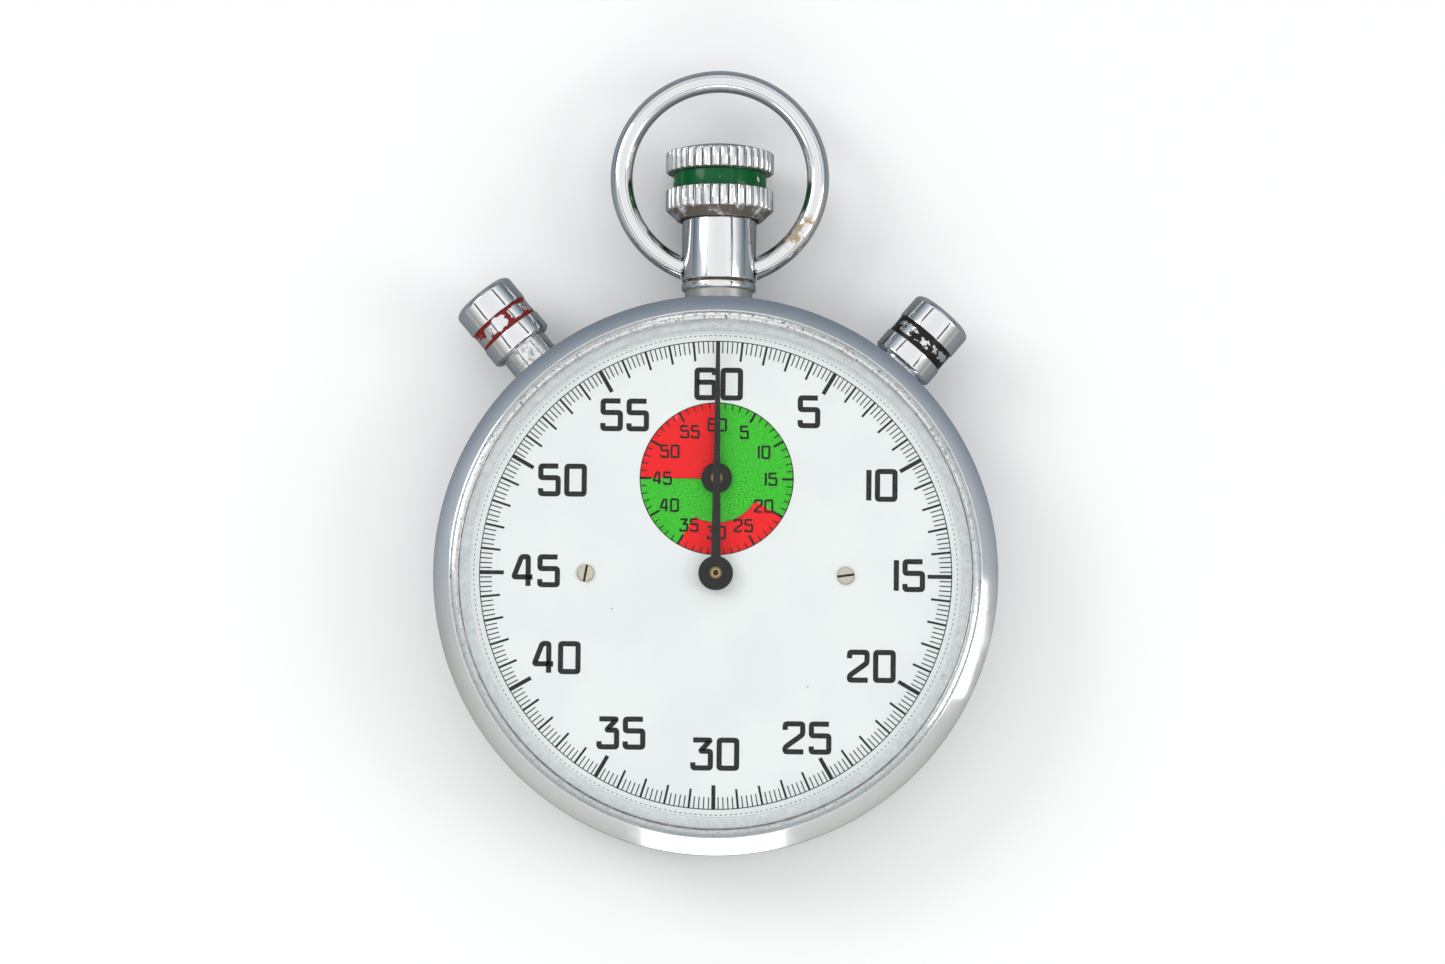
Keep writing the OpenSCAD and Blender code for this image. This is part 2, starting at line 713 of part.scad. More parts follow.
module bridge_screws() color(blued) for (a = post_angles) at(polar(post_ring_r, a), 0)
    difference() {
        union() {
            translate([0, 0, bridge_bottom - 0.4]) cylinder(r = screw_head_r, h = 0.4);
            translate([0, 0, bridge_bottom - 0.1])
                cylinder(r = screw_r, h = plate_bottom + 1 - bridge_bottom);
        }
        rotate(a * 7) translate([-2, -0.1, bridge_bottom - 0.9]) cube([4, 0.2, 0.7]);
    }

module jewel() difference() {
    cylinder(r = jewel_r, h = 0.5);
    translate([0, 0, -1]) cylinder(r = pivot_r + 0.03, h = 2);
}

module jewels() color(ruby) {
    for (p = jewel_spots) at(p, bridge_top - 0.5) jewel();
    for (p = plate_jewel_spots) at(p, plate_bottom) jewel();
}

// ================= Barrel and winding =================

barrel_arbor_r = 0.6;
barrel_core_r = 1;
barrel_drum_r = barrel_m * (barrel_n / 2 - 1.1) - 0.05;
barrel_cover_t = 0.25;
transmission_stud_r = 0.5;
crown_arbor_r = 0.5;
click_pin_r = 0.3;
ratchet_tip_r = winding_spur_m * (ratchet_n / 2 + 0.9);
// Angles at which the teeth of one wheel face the gaps of the next.
transmission_phase = bearing(transmission_c, crown_wheel_c) + 180 / transmission_n;
ratchet_phase = bearing(barrel_c, transmission_c) + 180 / ratchet_n
    + (bearing(transmission_c, barrel_c) - transmission_phase) * transmission_n / ratchet_n;

module barrel_drum() color(brass) at(barrel_c, barrel_z) difference() {
    union() {
        linear_extrude(barrel_teeth_h)
            gear2d(barrel_n, barrel_m, bearing(barrel_c, second_c));
        cylinder(r = barrel_drum_r, h = barrel_h);
    }
    translate([0, 0, 0.3]) cylinder(r = barrel_drum_r - barrel_wall, h = barrel_h);
    translate([0, 0, -1]) cylinder(r = barrel_arbor_r + run_gap, h = 2);
}

module barrel_cover() color(brass) at(barrel_c, barrel_z + barrel_h - barrel_cover_t)
    ring(barrel_drum_r - barrel_wall - seat_gap, barrel_arbor_r + run_gap, barrel_cover_t);

module mainspring() color(blued) at(barrel_c, barrel_z + 0.35)
    linear_extrude(barrel_h - 0.35 - barrel_cover_t - run_gap)
        spiral2d(barrel_core_r + 0.35, barrel_drum_r - barrel_wall - 0.15, 7, 0.15);

module barrel_arbor() color(steel) at(barrel_c, 0) {
    translate([0, 0, winding_z]) cylinder(r = barrel_arbor_r, h = plate_bottom + 0.7 - winding_z);
    translate([0, 0, barrel_z + 0.36])
        cylinder(r = barrel_core_r, h = barrel_h - 0.36 - barrel_cover_t - run_gap);
}

module ratchet_wheel() color(steel) at(barrel_c, winding_z) linear_extrude(winding_t)
    difference() {
        gear2d(ratchet_n, winding_spur_m, ratchet_phase);
        circle(barrel_arbor_r + seat_gap / 2);
        for (i = [0:4]) rotate(i * 72) translate([3.2, 0]) circle(0.9);
    }

click_c = barrel_c + polar(ratchet_tip_r + 1.3, -150);
click_tip = barrel_c + polar(ratchet_tip_r + 0.45, -172);
click_spring_c = barrel_c + polar(ratchet_tip_r + 1.5, -118);

module click() color(steel) {
    translate([0, 0, winding_z]) linear_extrude(winding_t) {
        bar2d(click_c, click_tip, 0.7);
        translate(click_c) circle(0.75);
    }
    at(click_c, winding_z) cylinder(r = click_pin_r, h = bridge_bottom + 0.8 - winding_z);
}

module click_spring() color(blued) {
    translate([0, 0, winding_z]) linear_extrude(winding_t) {
        translate(click_spring_c) circle(0.6);
        bar2d(click_spring_c, click_c + polar(1.05, -60), 0.3);
    }
    at(click_spring_c, winding_z) cylinder(r = click_pin_r, h = bridge_bottom + 0.8 - winding_z);
}

face_top = axis_z - winding_m * winding_pinion_n / 2 - winding_m * 0.2;
face_t = 0.6;
face_tooth_h = 0.2;

module crown_wheel() color(steel) at(crown_wheel_c, 0) {
    translate([0, 0, winding_z]) linear_extrude(winding_t)
        gear2d(crown_spur_n, winding_spur_m, bearing(crown_wheel_c, transmission_c));
    translate([0, 0, winding_z]) cylinder(r = crown_arbor_r, h = face_top - winding_z);
    translate([0, 0, face_top - face_tooth_h - face_t]) cylinder(r = face_r + 0.3, h = face_t);
    for (i = [0:crown_face_n - 1]) rotate(90 + i * 360 / crown_face_n)
        translate([face_r - 0.3, -0.07, face_top - face_tooth_h - eps])
            cube([0.6, 0.14, face_tooth_h]);
}

module transmission_wheel() color(steel) at(transmission_c, winding_z) linear_extrude(winding_t)
    difference() {
        gear2d(transmission_n, winding_spur_m, transmission_phase);
        circle(transmission_stud_r + run_gap);
    }

module winding_pinion() color(steel) outward(0) translate([0, 0, pinion_y - 0.6])
    linear_extrude(1.4) difference() {
        gear2d(winding_pinion_n, winding_m, 90 + 180 / winding_pinion_n);
        circle(stem_tip_r + run_gap);
    }

// ================= Going train =================

module second_wheel() color(brass) at(second_c, 0) {
    arbor();
    pinion(second_pinion_n, barrel_m, bearing(second_c, barrel_c), barrel_z);
    translate([0, 0, second_wheel_z]) linear_extrude(wheel_t)
        wheel2d(second_n, second_m, bearing(second_c, third_c), 5);
}

module third_wheel() color(brass) at(third_c, 0) {
    arbor();
    pinion(third_pinion_n, second_m, bearing(third_c, second_c), second_wheel_z - 0.1);
    translate([0, 0, third_wheel_z]) linear_extrude(wheel_t)
        wheel2d(third_n, third_m, bearing(third_c, seconds_c), 5);
}

module seconds_wheel() color(brass) {
    translate([0, 0, bridge_top + 0.1]) cylinder(r = arbor_r, h = third_wheel_z - bridge_top);
    translate([0, 0, bridge_top - 0.4]) cylinder(r = pivot_r, h = 1);
    pinion(seconds_pinion_n, third_m, bearing(seconds_c, third_c), third_wheel_z - 0.1);
    pinion(counter_pinion_n, counter_m, bearing(seconds_c, idler_c), idler_z - 0.1);
    translate([0, 0, seconds_wheel_z]) linear_extrude(wheel_t)
        wheel2d(seconds_n, seconds_m, bearing(seconds_c, escape_c), 5);
    translate([0, 0, third_wheel_z + 0.3])
        cylinder(r = seconds_tube_r, h = seconds_hand_z + hub_h - third_wheel_z - 0.4);
}

module minute_idler() color(brass) at(idler_c, 0) difference() {
    union() {
        translate([0, 0, idler_z]) linear_extrude(wheel_t)
            wheel2d(idler_n, counter_m, bearing(idler_c, seconds_c), 4);
        translate([0, 0, idler_z])
            cylinder(r = counter_m * (counter_pinion_n / 2 - 1.1), h = minute_wheel_z - idler_z);
        pinion(counter_pinion_n, counter_m, bearing(idler_c, minute_c), minute_wheel_z - 0.1);
    }
    cylinder(r = idler_stud_r + 0.04, h = 20);
}

module minute_wheel() color(brass) at(minute_c, 0) {
    translate([0, 0, bridge_top + 0.1])
        cylinder(r = arbor_r, h = minute_wheel_z - bridge_top);
    translate([0, 0, bridge_top - 0.4]) cylinder(r = pivot_r, h = 1);
    translate([0, 0, minute_wheel_z]) linear_extrude(wheel_t)
        wheel2d(minute_n, counter_m, bearing(minute_c, idler_c), 5);
    translate([0, 0, minute_wheel_z])
        cylinder(r = minute_tube_r, h = minute_hand_z + hub_h - 0.1 - minute_wheel_z);
}

// ================= Escapement =================

module escape_wheel() color(steel) at(escape_c, 0) {
    arbor();
    pinion(escape_pinion_n, seconds_m, bearing(escape_c, seconds_c), seconds_wheel_z - 0.1);
    translate([0, 0, escape_z]) linear_extrude(wheel_t) {
        circle(arbor_r + 0.3);
        difference() {
            circle(escape_r - 0.7);
            circle(escape_r - 1.05);
        }
        for (i = [0:escape_teeth - 1]) rotate(i * 360 / escape_teeth)
            polygon([[escape_r - 0.8, -0.2], [escape_r - 0.8, 0.2], [escape_r, 0.06],
                [escape_r, -0.06]]);
        for (i = [0:3]) rotate(i * 90) translate([0, -0.15]) square([escape_r - 0.9, 0.3]);
    }
}

module pallet_fork() color(steel) at(fork_c, 0) rotate(-45) {
    // Its arbor ends below the balance's arms, which pass over it.
    translate([0, 0, bridge_top + 0.1])
        cylinder(r = arbor_r, h = balance_z - 0.2 - bridge_top);
    translate([0, 0, bridge_top - 0.4]) cylinder(r = pivot_r, h = 0.6);
    translate([0, 0, escape_z]) linear_extrude(wheel_t) {
        circle(0.6);
        bar2d([0, 0], [2.7, 0], 0.4);
        translate([2.7, 0.27]) square([0.4, 0.16]);
        translate([2.7, -0.43]) square([0.4, 0.16]);
        translate([2.6, -0.43]) square([0.25, 0.86]);
        for (s = [-1, 1]) {
            bar2d([0, 0], [-0.35, s * 1.7], 0.4);
            translate([-0.62, s * 1.7 - 0.15]) square([0.4, 0.3]);
        }
    }
}

module balance_wheel() color(brass) at(balance_c, 0) {
    arbor();
    translate([0, 0, balance_z]) linear_extrude(0.6) difference() {
        circle(balance_r);
        circle(balance_r - 0.6);
    }
    translate([0, 0, balance_z + 0.1]) linear_extrude(0.3) {
        circle(0.9);
        bar2d([-balance_r + 0.4, 0], [balance_r - 0.4, 0], 0.7);
    }
    translate([0, 0, escape_z]) cylinder(r = 0.6, h = wheel_t);
    for (i = [0:11]) rotate(i * 30 + 15) translate([0, 0, balance_z + 0.3])
        rotate([0, 90, 0]) translate([0, 0, balance_r - 0.4]) cylinder(r = 0.22, h = 0.55, $fn = 24);
}

module hairspring() color(blued) at(balance_c, hairspring_z) {
    linear_extrude(0.2) spiral2d(0.75, 2.8, 9, 0.07);
    ring(0.75, arbor_r + seat_gap / 2, 0.3);
}

// ================= Counting and reset work =================

heart_high = 1.3;
heart_low = 0.75;
lever_pin_r = 0.45;
lever_bore_gap = 0.04;

// A heart cam with its notch towards +X; its radius grows evenly from notch to point.
module heart(bore) {
    linear_extrude(lever_t) difference() {
        polygon([for (a = [-180:10:170])
            polar(heart_low + (heart_high - heart_low) * abs(a) / 180, a)]);
        circle(bore);
    }
}

module seconds_heart_cam() color(steel) at(seconds_c, lever_z) heart(seconds_tube_r + seat_gap / 2);

module minute_heart_cam() color(steel) at(minute_c, lever_z) heart(minute_tube_r + seat_gap / 2);

// A lever: its outline, its pin in the plate and the foot that a pusher's tip meets.
module lever(pivot, foot) {
    translate([0, 0, lever_z]) linear_extrude(lever_t) {
        translate(pivot) circle(1.1);
        bar2d(pivot, foot, 1);
        children();
    }
    at(pivot, lever_z) cylinder(r = lever_pin_r, h = plate_bottom + 0.6 - lever_z);
    at(foot, foot_z) cylinder(r = 0.5, h = lever_z - foot_z + eps);
}

foot_z = minute_wheel_z + wheel_t + 0.1;
foot_gap = push_tip_y - push_travel - 0.5 - 0.25;
hammer_face_x = heart_high + 0.15;

module reset_hammer() color(steel)
    lever(hammer_c, polar(foot_gap - 0.3, 90 - push_angle)) {
        bar2d(hammer_c, [hammer_face_x + 1.6, counter_y + 1.2], 1.2);
        bar2d([hammer_face_x + 1.6, counter_y + 1.2], [hammer_face_x + 1.6, 0], 1.2);
        translate([hammer_face_x, counter_y - 0.9]) square([1.6, 1.8]);
        translate([hammer_face_x, -0.9]) square([1.6, 1.8]);
    }

brake_r = 0.45;
brake_c = third_c + polar(third_m * (third_n / 2 + 0.9) + brake_r + 0.8, 150);

module stop_lever() color(steel) {
    lever(stop_c, polar(foot_gap, 90 + push_angle)) {
        bar2d(stop_c, [-7.4, 6], 1);
        bar2d([-7.4, 6], brake_c, 1);
    }
    at(brake_c, third_wheel_z) cylinder(r = brake_r, h = lever_z - third_wheel_z + eps);
}

module start_lever() color(steel)
    lever(start_c, [0, crown_wheel_c[1] + 0.6 - crown_travel - 0.5 - 0.15]) {
        bar2d(start_c, [-6, 12], 0.8);
    }

case_middle();
bezel();
crystal();
back_cover();
movement_ring();
pendant_tube();
bow();
crown();
crown_colour_ring();
winding_stem();
crown_sleeve();
crown_return_spring();
left_push_cap();
left_push_ring();
left_push_stem();
left_push_tube();
left_push_spring();
right_push_cap();
right_push_ring();
right_push_stem();
right_push_tube();
right_push_spring();
dial();
dial_screws();
seconds_hand();
minute_hand();
main_plate();
barrel_bridge();
train_bridge();
balance_cock();
bridge_screws();
jewels();
barrel_drum();
barrel_cover();
mainspring();
barrel_arbor();
ratchet_wheel();
click();
click_spring();
crown_wheel();
transmission_wheel();
winding_pinion();
second_wheel();
third_wheel();
seconds_wheel();
minute_idler();
minute_wheel();
escape_wheel();
pallet_fork();
balance_wheel();
hairspring();
seconds_heart_cam();
minute_heart_cam();
reset_hammer();
stop_lever();
start_lever();
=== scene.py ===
"""Looks of a chromed pocket stopwatch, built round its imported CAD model.

All sizes are in metres. The watch lies on its back: +Z is out of the dial, +Y is 12 o'clock.
"""

import json
import math

import bmesh
import bpy
from mathutils import Matrix, Vector

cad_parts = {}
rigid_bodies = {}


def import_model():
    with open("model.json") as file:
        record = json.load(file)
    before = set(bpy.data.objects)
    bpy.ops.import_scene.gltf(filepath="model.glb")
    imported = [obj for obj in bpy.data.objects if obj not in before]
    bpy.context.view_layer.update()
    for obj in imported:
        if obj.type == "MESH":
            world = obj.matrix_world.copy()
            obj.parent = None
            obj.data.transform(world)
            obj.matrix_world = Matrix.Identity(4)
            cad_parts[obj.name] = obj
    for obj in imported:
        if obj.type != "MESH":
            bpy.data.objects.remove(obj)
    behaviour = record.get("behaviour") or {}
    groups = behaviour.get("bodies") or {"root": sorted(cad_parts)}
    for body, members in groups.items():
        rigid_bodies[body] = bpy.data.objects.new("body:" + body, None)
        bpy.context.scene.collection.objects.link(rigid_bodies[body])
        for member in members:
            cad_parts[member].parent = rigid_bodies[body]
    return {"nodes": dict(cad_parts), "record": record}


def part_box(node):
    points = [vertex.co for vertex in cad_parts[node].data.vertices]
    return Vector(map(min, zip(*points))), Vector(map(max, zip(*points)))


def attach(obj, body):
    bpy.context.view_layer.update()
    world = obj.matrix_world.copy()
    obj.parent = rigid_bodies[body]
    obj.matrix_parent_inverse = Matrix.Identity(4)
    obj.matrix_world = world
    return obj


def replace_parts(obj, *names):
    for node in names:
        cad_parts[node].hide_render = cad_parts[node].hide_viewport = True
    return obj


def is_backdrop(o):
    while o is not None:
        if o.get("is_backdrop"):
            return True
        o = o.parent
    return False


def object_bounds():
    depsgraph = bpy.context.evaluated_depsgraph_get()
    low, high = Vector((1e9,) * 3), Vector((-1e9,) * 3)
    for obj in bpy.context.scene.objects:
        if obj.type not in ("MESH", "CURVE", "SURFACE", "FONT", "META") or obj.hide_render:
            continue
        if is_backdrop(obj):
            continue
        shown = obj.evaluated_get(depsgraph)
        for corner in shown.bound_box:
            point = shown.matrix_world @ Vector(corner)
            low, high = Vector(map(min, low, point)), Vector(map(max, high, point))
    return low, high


MM = 0.001
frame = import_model()
cad_low, cad_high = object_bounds()


def turned(angle, radius):
    """A point at a clock angle, in degrees clockwise from 12 o'clock."""
    a = math.radians(angle)
    return Vector((radius * math.sin(a), radius * math.cos(a)))


# ---------------------------------------------------------------- node trees


class Tree:
    """Short names for the shader nodes that every material here is made of."""

    def __init__(self, name, base, roughness, metallic=0.0, coat=0.0, specular=0.5):
        self.mat = bpy.data.materials.new(name)
        self.mat.use_nodes = True
        self.nodes = self.mat.node_tree.nodes
        self.links = self.mat.node_tree.links
        self.shader = self.nodes["Principled BSDF"]
        self.set("Base Color", (*base, 1.0))
        self.set("Roughness", roughness)
        self.set("Metallic", metallic)
        self.set("Coat Weight", coat)
        self.set("Specular IOR Level", specular)
        self.where = self.nodes.new("ShaderNodeTexCoord").outputs["Object"]

    def set(self, socket, value):
        self.shader.inputs[socket].default_value = value

    def join(self, source, target):
        """Links a node's output to an input, or sets the input to a plain value."""
        if hasattr(source, "is_linked"):
            self.links.new(source, target)
        elif isinstance(source, tuple) and len(source) == 3 and target.type == "RGBA":
            target.default_value = (*source, 1.0)
        else:
            target.default_value = source

    def feed(self, socket, source):
        self.join(source, self.shader.inputs[socket])

    def math(self, operation, a, b=0.0, c=0.0):
        node = self.nodes.new("ShaderNodeMath")
        node.operation = operation
        for value, target in zip((a, b, c), node.inputs):
            self.join(value, target)
        return node.outputs[0]

    def stretch(self, scale, turn=(0, 0, 0)):
        node = self.nodes.new("ShaderNodeMapping")
        self.links.new(self.where, node.inputs["Vector"])
        node.inputs["Scale"].default_value = scale
        node.inputs["Rotation"].default_value = [math.radians(a) for a in turn]
        return node.outputs[0]

    def noise(self, size, detail=4.0, rough=0.55, where=None, seed=0.0):
        """Noise with features about size metres across."""
        node = self.nodes.new("ShaderNodeTexNoise")
        node.noise_dimensions = "4D"
        self.links.new(where or self.where, node.inputs["Vector"])
        node.inputs["W"].default_value = seed
        node.inputs["Scale"].default_value = 1.0 / size
        node.inputs["Detail"].default_value = detail
        node.inputs["Roughness"].default_value = rough
        return node.outputs[0]

    def specks(self, size, seed=0.0):
        node = self.nodes.new("ShaderNodeTexVoronoi")
        node.voronoi_dimensions = "4D"
        self.links.new(self.where, node.inputs["Vector"])
        node.inputs["W"].default_value = seed
        node.inputs["Scale"].default_value = 1.0 / size
        return node.outputs["Distance"]

    def band(self, value, low, high, out_low=0.0, out_high=1.0):
        """Value taken smoothly from low..high to out_low..out_high."""
        node = self.nodes.new("ShaderNodeMapRange")
        node.interpolation_type = "SMOOTHSTEP"
        for source, target in zip((value, low, high, out_low, out_high), node.inputs):
            self.join(source, target)
        return node.outputs[0]

    def mix(self, amount, a, b):
        node = self.nodes.new("ShaderNodeMix")
        node.data_type = "RGBA"
        self.join(amount, node.inputs[0])
        self.join(a, node.inputs[6])
        self.join(b, node.inputs[7])
        return node.outputs[2]

    def blend(self, amount, a, b):
        """Plain numbers mixed: a where amount is 0, b where it is 1."""
        return self.math("MULTIPLY_ADD", amount, self.math("SUBTRACT", b, a), a)

    def axis(self, name):
        if not hasattr(self, "split"):
            self.split = self.nodes.new("ShaderNodeSeparateXYZ")
            self.links.new(self.where, self.split.inputs[0])
        return self.split.outputs[name]

    def distance(self, first, second, at=(0.0, 0.0)):
        """Distance from a line along the third axis, through at on the first two."""
        parts = [self.math("SUBTRACT", self.axis(a), v) for a, v in zip((first, second), at)]
        squares = [self.math("MULTIPLY", p, p) for p in parts]
        return self.math("SQRT", self.math("ADD", *squares))

    def bump(self, height, depth):
        node = self.nodes.new("ShaderNodeBump")
        node.inputs["Strength"].default_value = 1.0
        node.inputs["Distance"].default_value = depth
        self.links.new(height, node.inputs["Height"])
        self.links.new(node.outputs[0], self.shader.inputs["Normal"])


# ---------------------------------------------------------------- meshes


def piece(name, mesh, body, material, smooth_angle=30.0):
    """Puts a finished mesh into the scene as a piece that rides on a CAD body."""
    mesh.materials.append(material)
    mesh.polygons.foreach_set("use_smooth", [True] * len(mesh.polygons))
    mesh.set_sharp_from_angle(angle=math.radians(smooth_angle))
    obj = bpy.data.objects.new(name, mesh)
    bpy.context.scene.collection.objects.link(obj)
    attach(obj, body)
    return obj


def mesh_of(name, points, faces):
    mesh = bpy.data.meshes.new(name)
    mesh.from_pydata(points, [], faces)
    mesh.validate()
    return mesh


def facing_out(mesh):
    build = bmesh.new()
    build.from_mesh(mesh)
    bmesh.ops.recalc_face_normals(build, faces=build.faces)
    build.to_mesh(mesh)
    build.free()
    return mesh


class Plates:
    """Collects flat closed strips, such as printed strokes, into one mesh."""

    def __init__(self, low, high):
        self.low, self.high = low, high
        self.points, self.faces = [], []

    def strip(self, path, width, closed=False):
        """A plate of even width along a path, with mitred corners."""
        count, start = len(path), len(self.points)
        for i, point in enumerate(path):
            ways = []
            if closed or i:
                ways.append((point - path[i - 1]).normalized())
            if closed or i < count - 1:
                ways.append((path[(i + 1) % count] - point).normalized())
            way = sum(ways, Vector((0, 0))).normalized()
            side = Vector((-way.y, way.x)) * (width / 2 / max(0.5, way.dot(ways[0])))
            for p in (point - side, point + side):
                self.points += [(p.x, p.y, self.low), (p.x, p.y, self.high)]
        for i in range(count if closed else count - 1):
            here, there = start + 4 * i, start + 4 * ((i + 1) % count)
            for a, b in ((0, 2), (2, 3), (3, 1), (1, 0)):
                self.faces.append([here + a, here + b, there + b, there + a])
        if not closed:
            self.faces.append([start, start + 1, start + 3, start + 2])
            end = start + 4 * (count - 1)
            self.faces.append([end, end + 2, end + 3, end + 1])

    def ring(self, centre, radius, width, from_angle=0.0, to_angle=360.0, step=3.0):
        """A plate along an arc between two clock angles; a full turn is closed."""
        full = to_angle - from_angle >= 360.0
        steps = round((to_angle - from_angle) / step)
        self.strip([centre + turned(from_angle + step * i, radius)
                    for i in range(steps if full else steps + 1)], width, full)

    def mesh(self, name):
        return facing_out(mesh_of(name, self.points, self.faces))


def lathe(name, profile, frame_at=Matrix.Identity(4), steps=192):
    """A solid of revolution about +Z from (radius, height) points, then moved by frame_at."""
    points, faces, rows = [], [], []
    for radius, height in profile:
        if radius < 1e-7:
            rows.append([len(points)] * steps)
            points.append((0.0, 0.0, height))
            continue
        rows.append(list(range(len(points), len(points) + steps)))
        for i in range(steps):
            a = 2 * math.pi * i / steps
            points.append((radius * math.cos(a), radius * math.sin(a), height))
    for lower, upper in zip(rows, rows[1:] + rows[:1]):
        for i in range(steps):
            j = (i + 1) % steps
            loop = [lower[i], lower[j], upper[j], upper[i]]
            face = [v for k, v in enumerate(loop) if v != loop[k - 1]]
            if len(face) > 2:
                faces.append(face)
    return facing_out(mesh_of(name, [frame_at @ Vector(p) for p in points], faces))


def bend(start, corner, end, steps):
    """Points of a smooth curve from start to end that heads for the corner."""
    return [start * (1 - t) ** 2 + corner * (2 * t * (1 - t)) + end * t ** 2
            for t in (k / steps for k in range(steps + 1))]


def rounded(profile, size, steps=4):
    """A profile with each corner replaced by a small arc that cuts size off its sides."""
    out = []
    count = len(profile)
    for i, corner in enumerate(profile):
        corner = Vector(corner)
        before, after = Vector(profile[i - 1]), Vector(profile[(i + 1) % count])
        if corner.x < 1e-7:
            out.append(tuple(corner))
            continue
        cut_a = min(size, (before - corner).length * 0.45)
        cut_b = min(size, (after - corner).length * 0.45)
        a = corner + (before - corner).normalized() * cut_a
        b = corner + (after - corner).normalized() * cut_b
        out += [tuple(p) for p in bend(a, corner, b, steps)]
    return out


# ---------------------------------------------------------------- print on the dial


def soften(path, radius, closed=False, steps=3):
    """A path with its corners rounded."""
    count = len(path)
    inner = range(count) if closed else range(1, count - 1)
    out = [] if closed else [path[0]]
    for i in inner:
        before, corner, after = path[i - 1], path[i], path[(i + 1) % count]
        cut = min(radius, (before - corner).length / 2, (after - corner).length / 2)
        a = corner + (before - corner).normalized() * cut
        b = corner + (after - corner).normalized() * cut
        out += bend(a, corner, b, steps)
    return out if closed else out + [path[-1]]


# Strokes of each digit in a box one unit wide and one high: plain squared figures.
# A stroke that ends where it began is closed.
STROKES = {
    "0": [[(0, 0), (0, 1), (1, 1), (1, 0), (0, 0)]],
    "1": [[(0.5, -0.05), (0.5, 1.05)]],
    "2": [[(0, 0.78), (0, 1), (1, 1), (1, 0.62), (0, 0.16), (0, 0), (1.05, 0)]],
    "3": [[(0, 1), (1, 1), (0.42, 0.6), (1, 0.6), (1, 0), (0, 0), (0, 0.2)]],
    "4": [[(0.82, -0.05), (0.82, 1), (0.44, 1), (0, 0.27), (1.08, 0.27)]],
    "5": [[(1, 1), (0, 1), (0, 0.58), (1, 0.58), (1, 0), (0, 0), (0, 0.2)]],
    "6": [[(1, 0.82), (1, 1), (0, 1), (0, 0), (1, 0), (1, 0.56), (0, 0.56)]],
}


def write_number(plates, number, centre, height, digit_w, gap, stroke):
    """Draws an upright number about its centre. A one takes a third of a digit's room."""
    digits = str(number)
    rooms = [stroke if d == "1" else digit_w for d in digits]
    x = centre.x - (sum(rooms) + gap * (len(digits) - 1)) / 2
    for digit, room in zip(digits, rooms):
        for points in STROKES[digit]:
            closed = points[0] == points[-1]
            path = [Vector((x + room / 2 + (u - 0.5) * (digit_w - stroke),
                            centre.y + (v - 0.5) * (height - stroke)))
                    for u, v in (points[:-1] if closed else points)]
            plates.strip(soften(path, stroke * 0.4, closed), stroke, closed)
        x += room + gap


# ---------------------------------------------------------------- places, taken from the CAD

case_low, case_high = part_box("case_middle")
bezel_low, bezel_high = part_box("bezel")
crystal_low, crystal_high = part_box("crystal")
back_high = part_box("back_cover")[1]
dial_low, dial_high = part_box("dial")
pendant_low, pendant_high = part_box("pendant_tube")
crown_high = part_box("crown")[1]
bow_low, bow_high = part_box("bow")
AXIS_Z = (pendant_low.z + pendant_high.z) / 2
MINUTE_HUB_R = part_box("minute_hand")[1].x
MINUTE_C = Vector((0.0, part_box("minute_hand")[0].y + MINUTE_HUB_R))
CENTRE = Vector((0.0, 0.0))
PUSH_ANGLE = 40.0
TRACK_R = 23.4 * MM
COUNTER_R = 7.6 * MM
RED_ARC_R = 4.4 * MM
NECK_Y = bezel_high.x + 0.9 * MM
PRINT_THICK = 0.004 * MM


def outward(angle):
    """Turns +Z to point away from the middle at a clock angle, at the crown's height."""
    return (Matrix.Translation((0, 0, AXIS_Z)) @ Matrix.Rotation(math.radians(-angle), 4, "Z")
            @ Matrix.Rotation(math.radians(-90), 4, "X"))


def reach(node, angle):
    """How far a CAD node goes along an outward axis (from, to), and its radius about it."""
    back = outward(angle).inverted()
    points = [back @ v.co for v in frame["nodes"][node].data.vertices]
    heights = [p.z for p in points]
    return min(heights), max(heights), max(math.hypot(p.x, p.y) for p in points)


def srgb(code):
    """Linear colour from a six-figure hexadecimal screen colour."""
    parts = [int(code[i:i + 2], 16) / 255 for i in (0, 2, 4)]
    return tuple(p / 12.92 if p <= 0.04045 else ((p + 0.055) / 1.055) ** 2.4 for p in parts)


# ---------------------------------------------------------------- materials

CHROME = (0.78, 0.79, 0.80)
GRIME = srgb("4A3A2C")


def chrome(name, dirt=None, dirt_colour=GRIME, base=CHROME, seed=0.0):
    """Old polished chrome: smudged, faintly scratched, with brown dirt where dirt() says."""
    t = Tree(name, base, 0.1, metallic=1.0)
    smudge = t.band(t.noise(5 * MM, 5, seed=seed), 0.42, 0.68)
    hairs = t.noise(0.25 * MM, 3, where=t.stretch((1, 0.06, 1), (0, 0, 35)), seed=seed)
    pits = t.band(t.noise(0.3 * MM, 3, 0.6, seed=seed + 3), 0.69, 0.74)
    spread = dirt(t) if dirt else 0.0
    mask = t.math("MAXIMUM", t.math("MULTIPLY", pits, 0.6), spread)
    rough = t.math("ADD", t.blend(smudge, 0.05, 0.14), t.math("MULTIPLY", hairs, 0.06))
    t.feed("Roughness", t.blend(mask, rough, 0.6))
    cloud = t.mix(t.math("MULTIPLY", smudge, 0.25), base, tuple(c * 0.9 for c in base))
    t.feed("Base Color", t.mix(mask, cloud, dirt_colour))
    t.feed("Metallic", t.blend(mask, 1.0, 0.25))
    t.bump(t.math("ADD", t.math("MULTIPLY", hairs, 0.4), t.math("MULTIPLY", mask, 1.2)), 0.004 * MM)
    return t.mat


def patchy(t, size, low, high, seed=7.0):
    return t.band(t.noise(size, 6, 0.65, seed=seed), low, high)


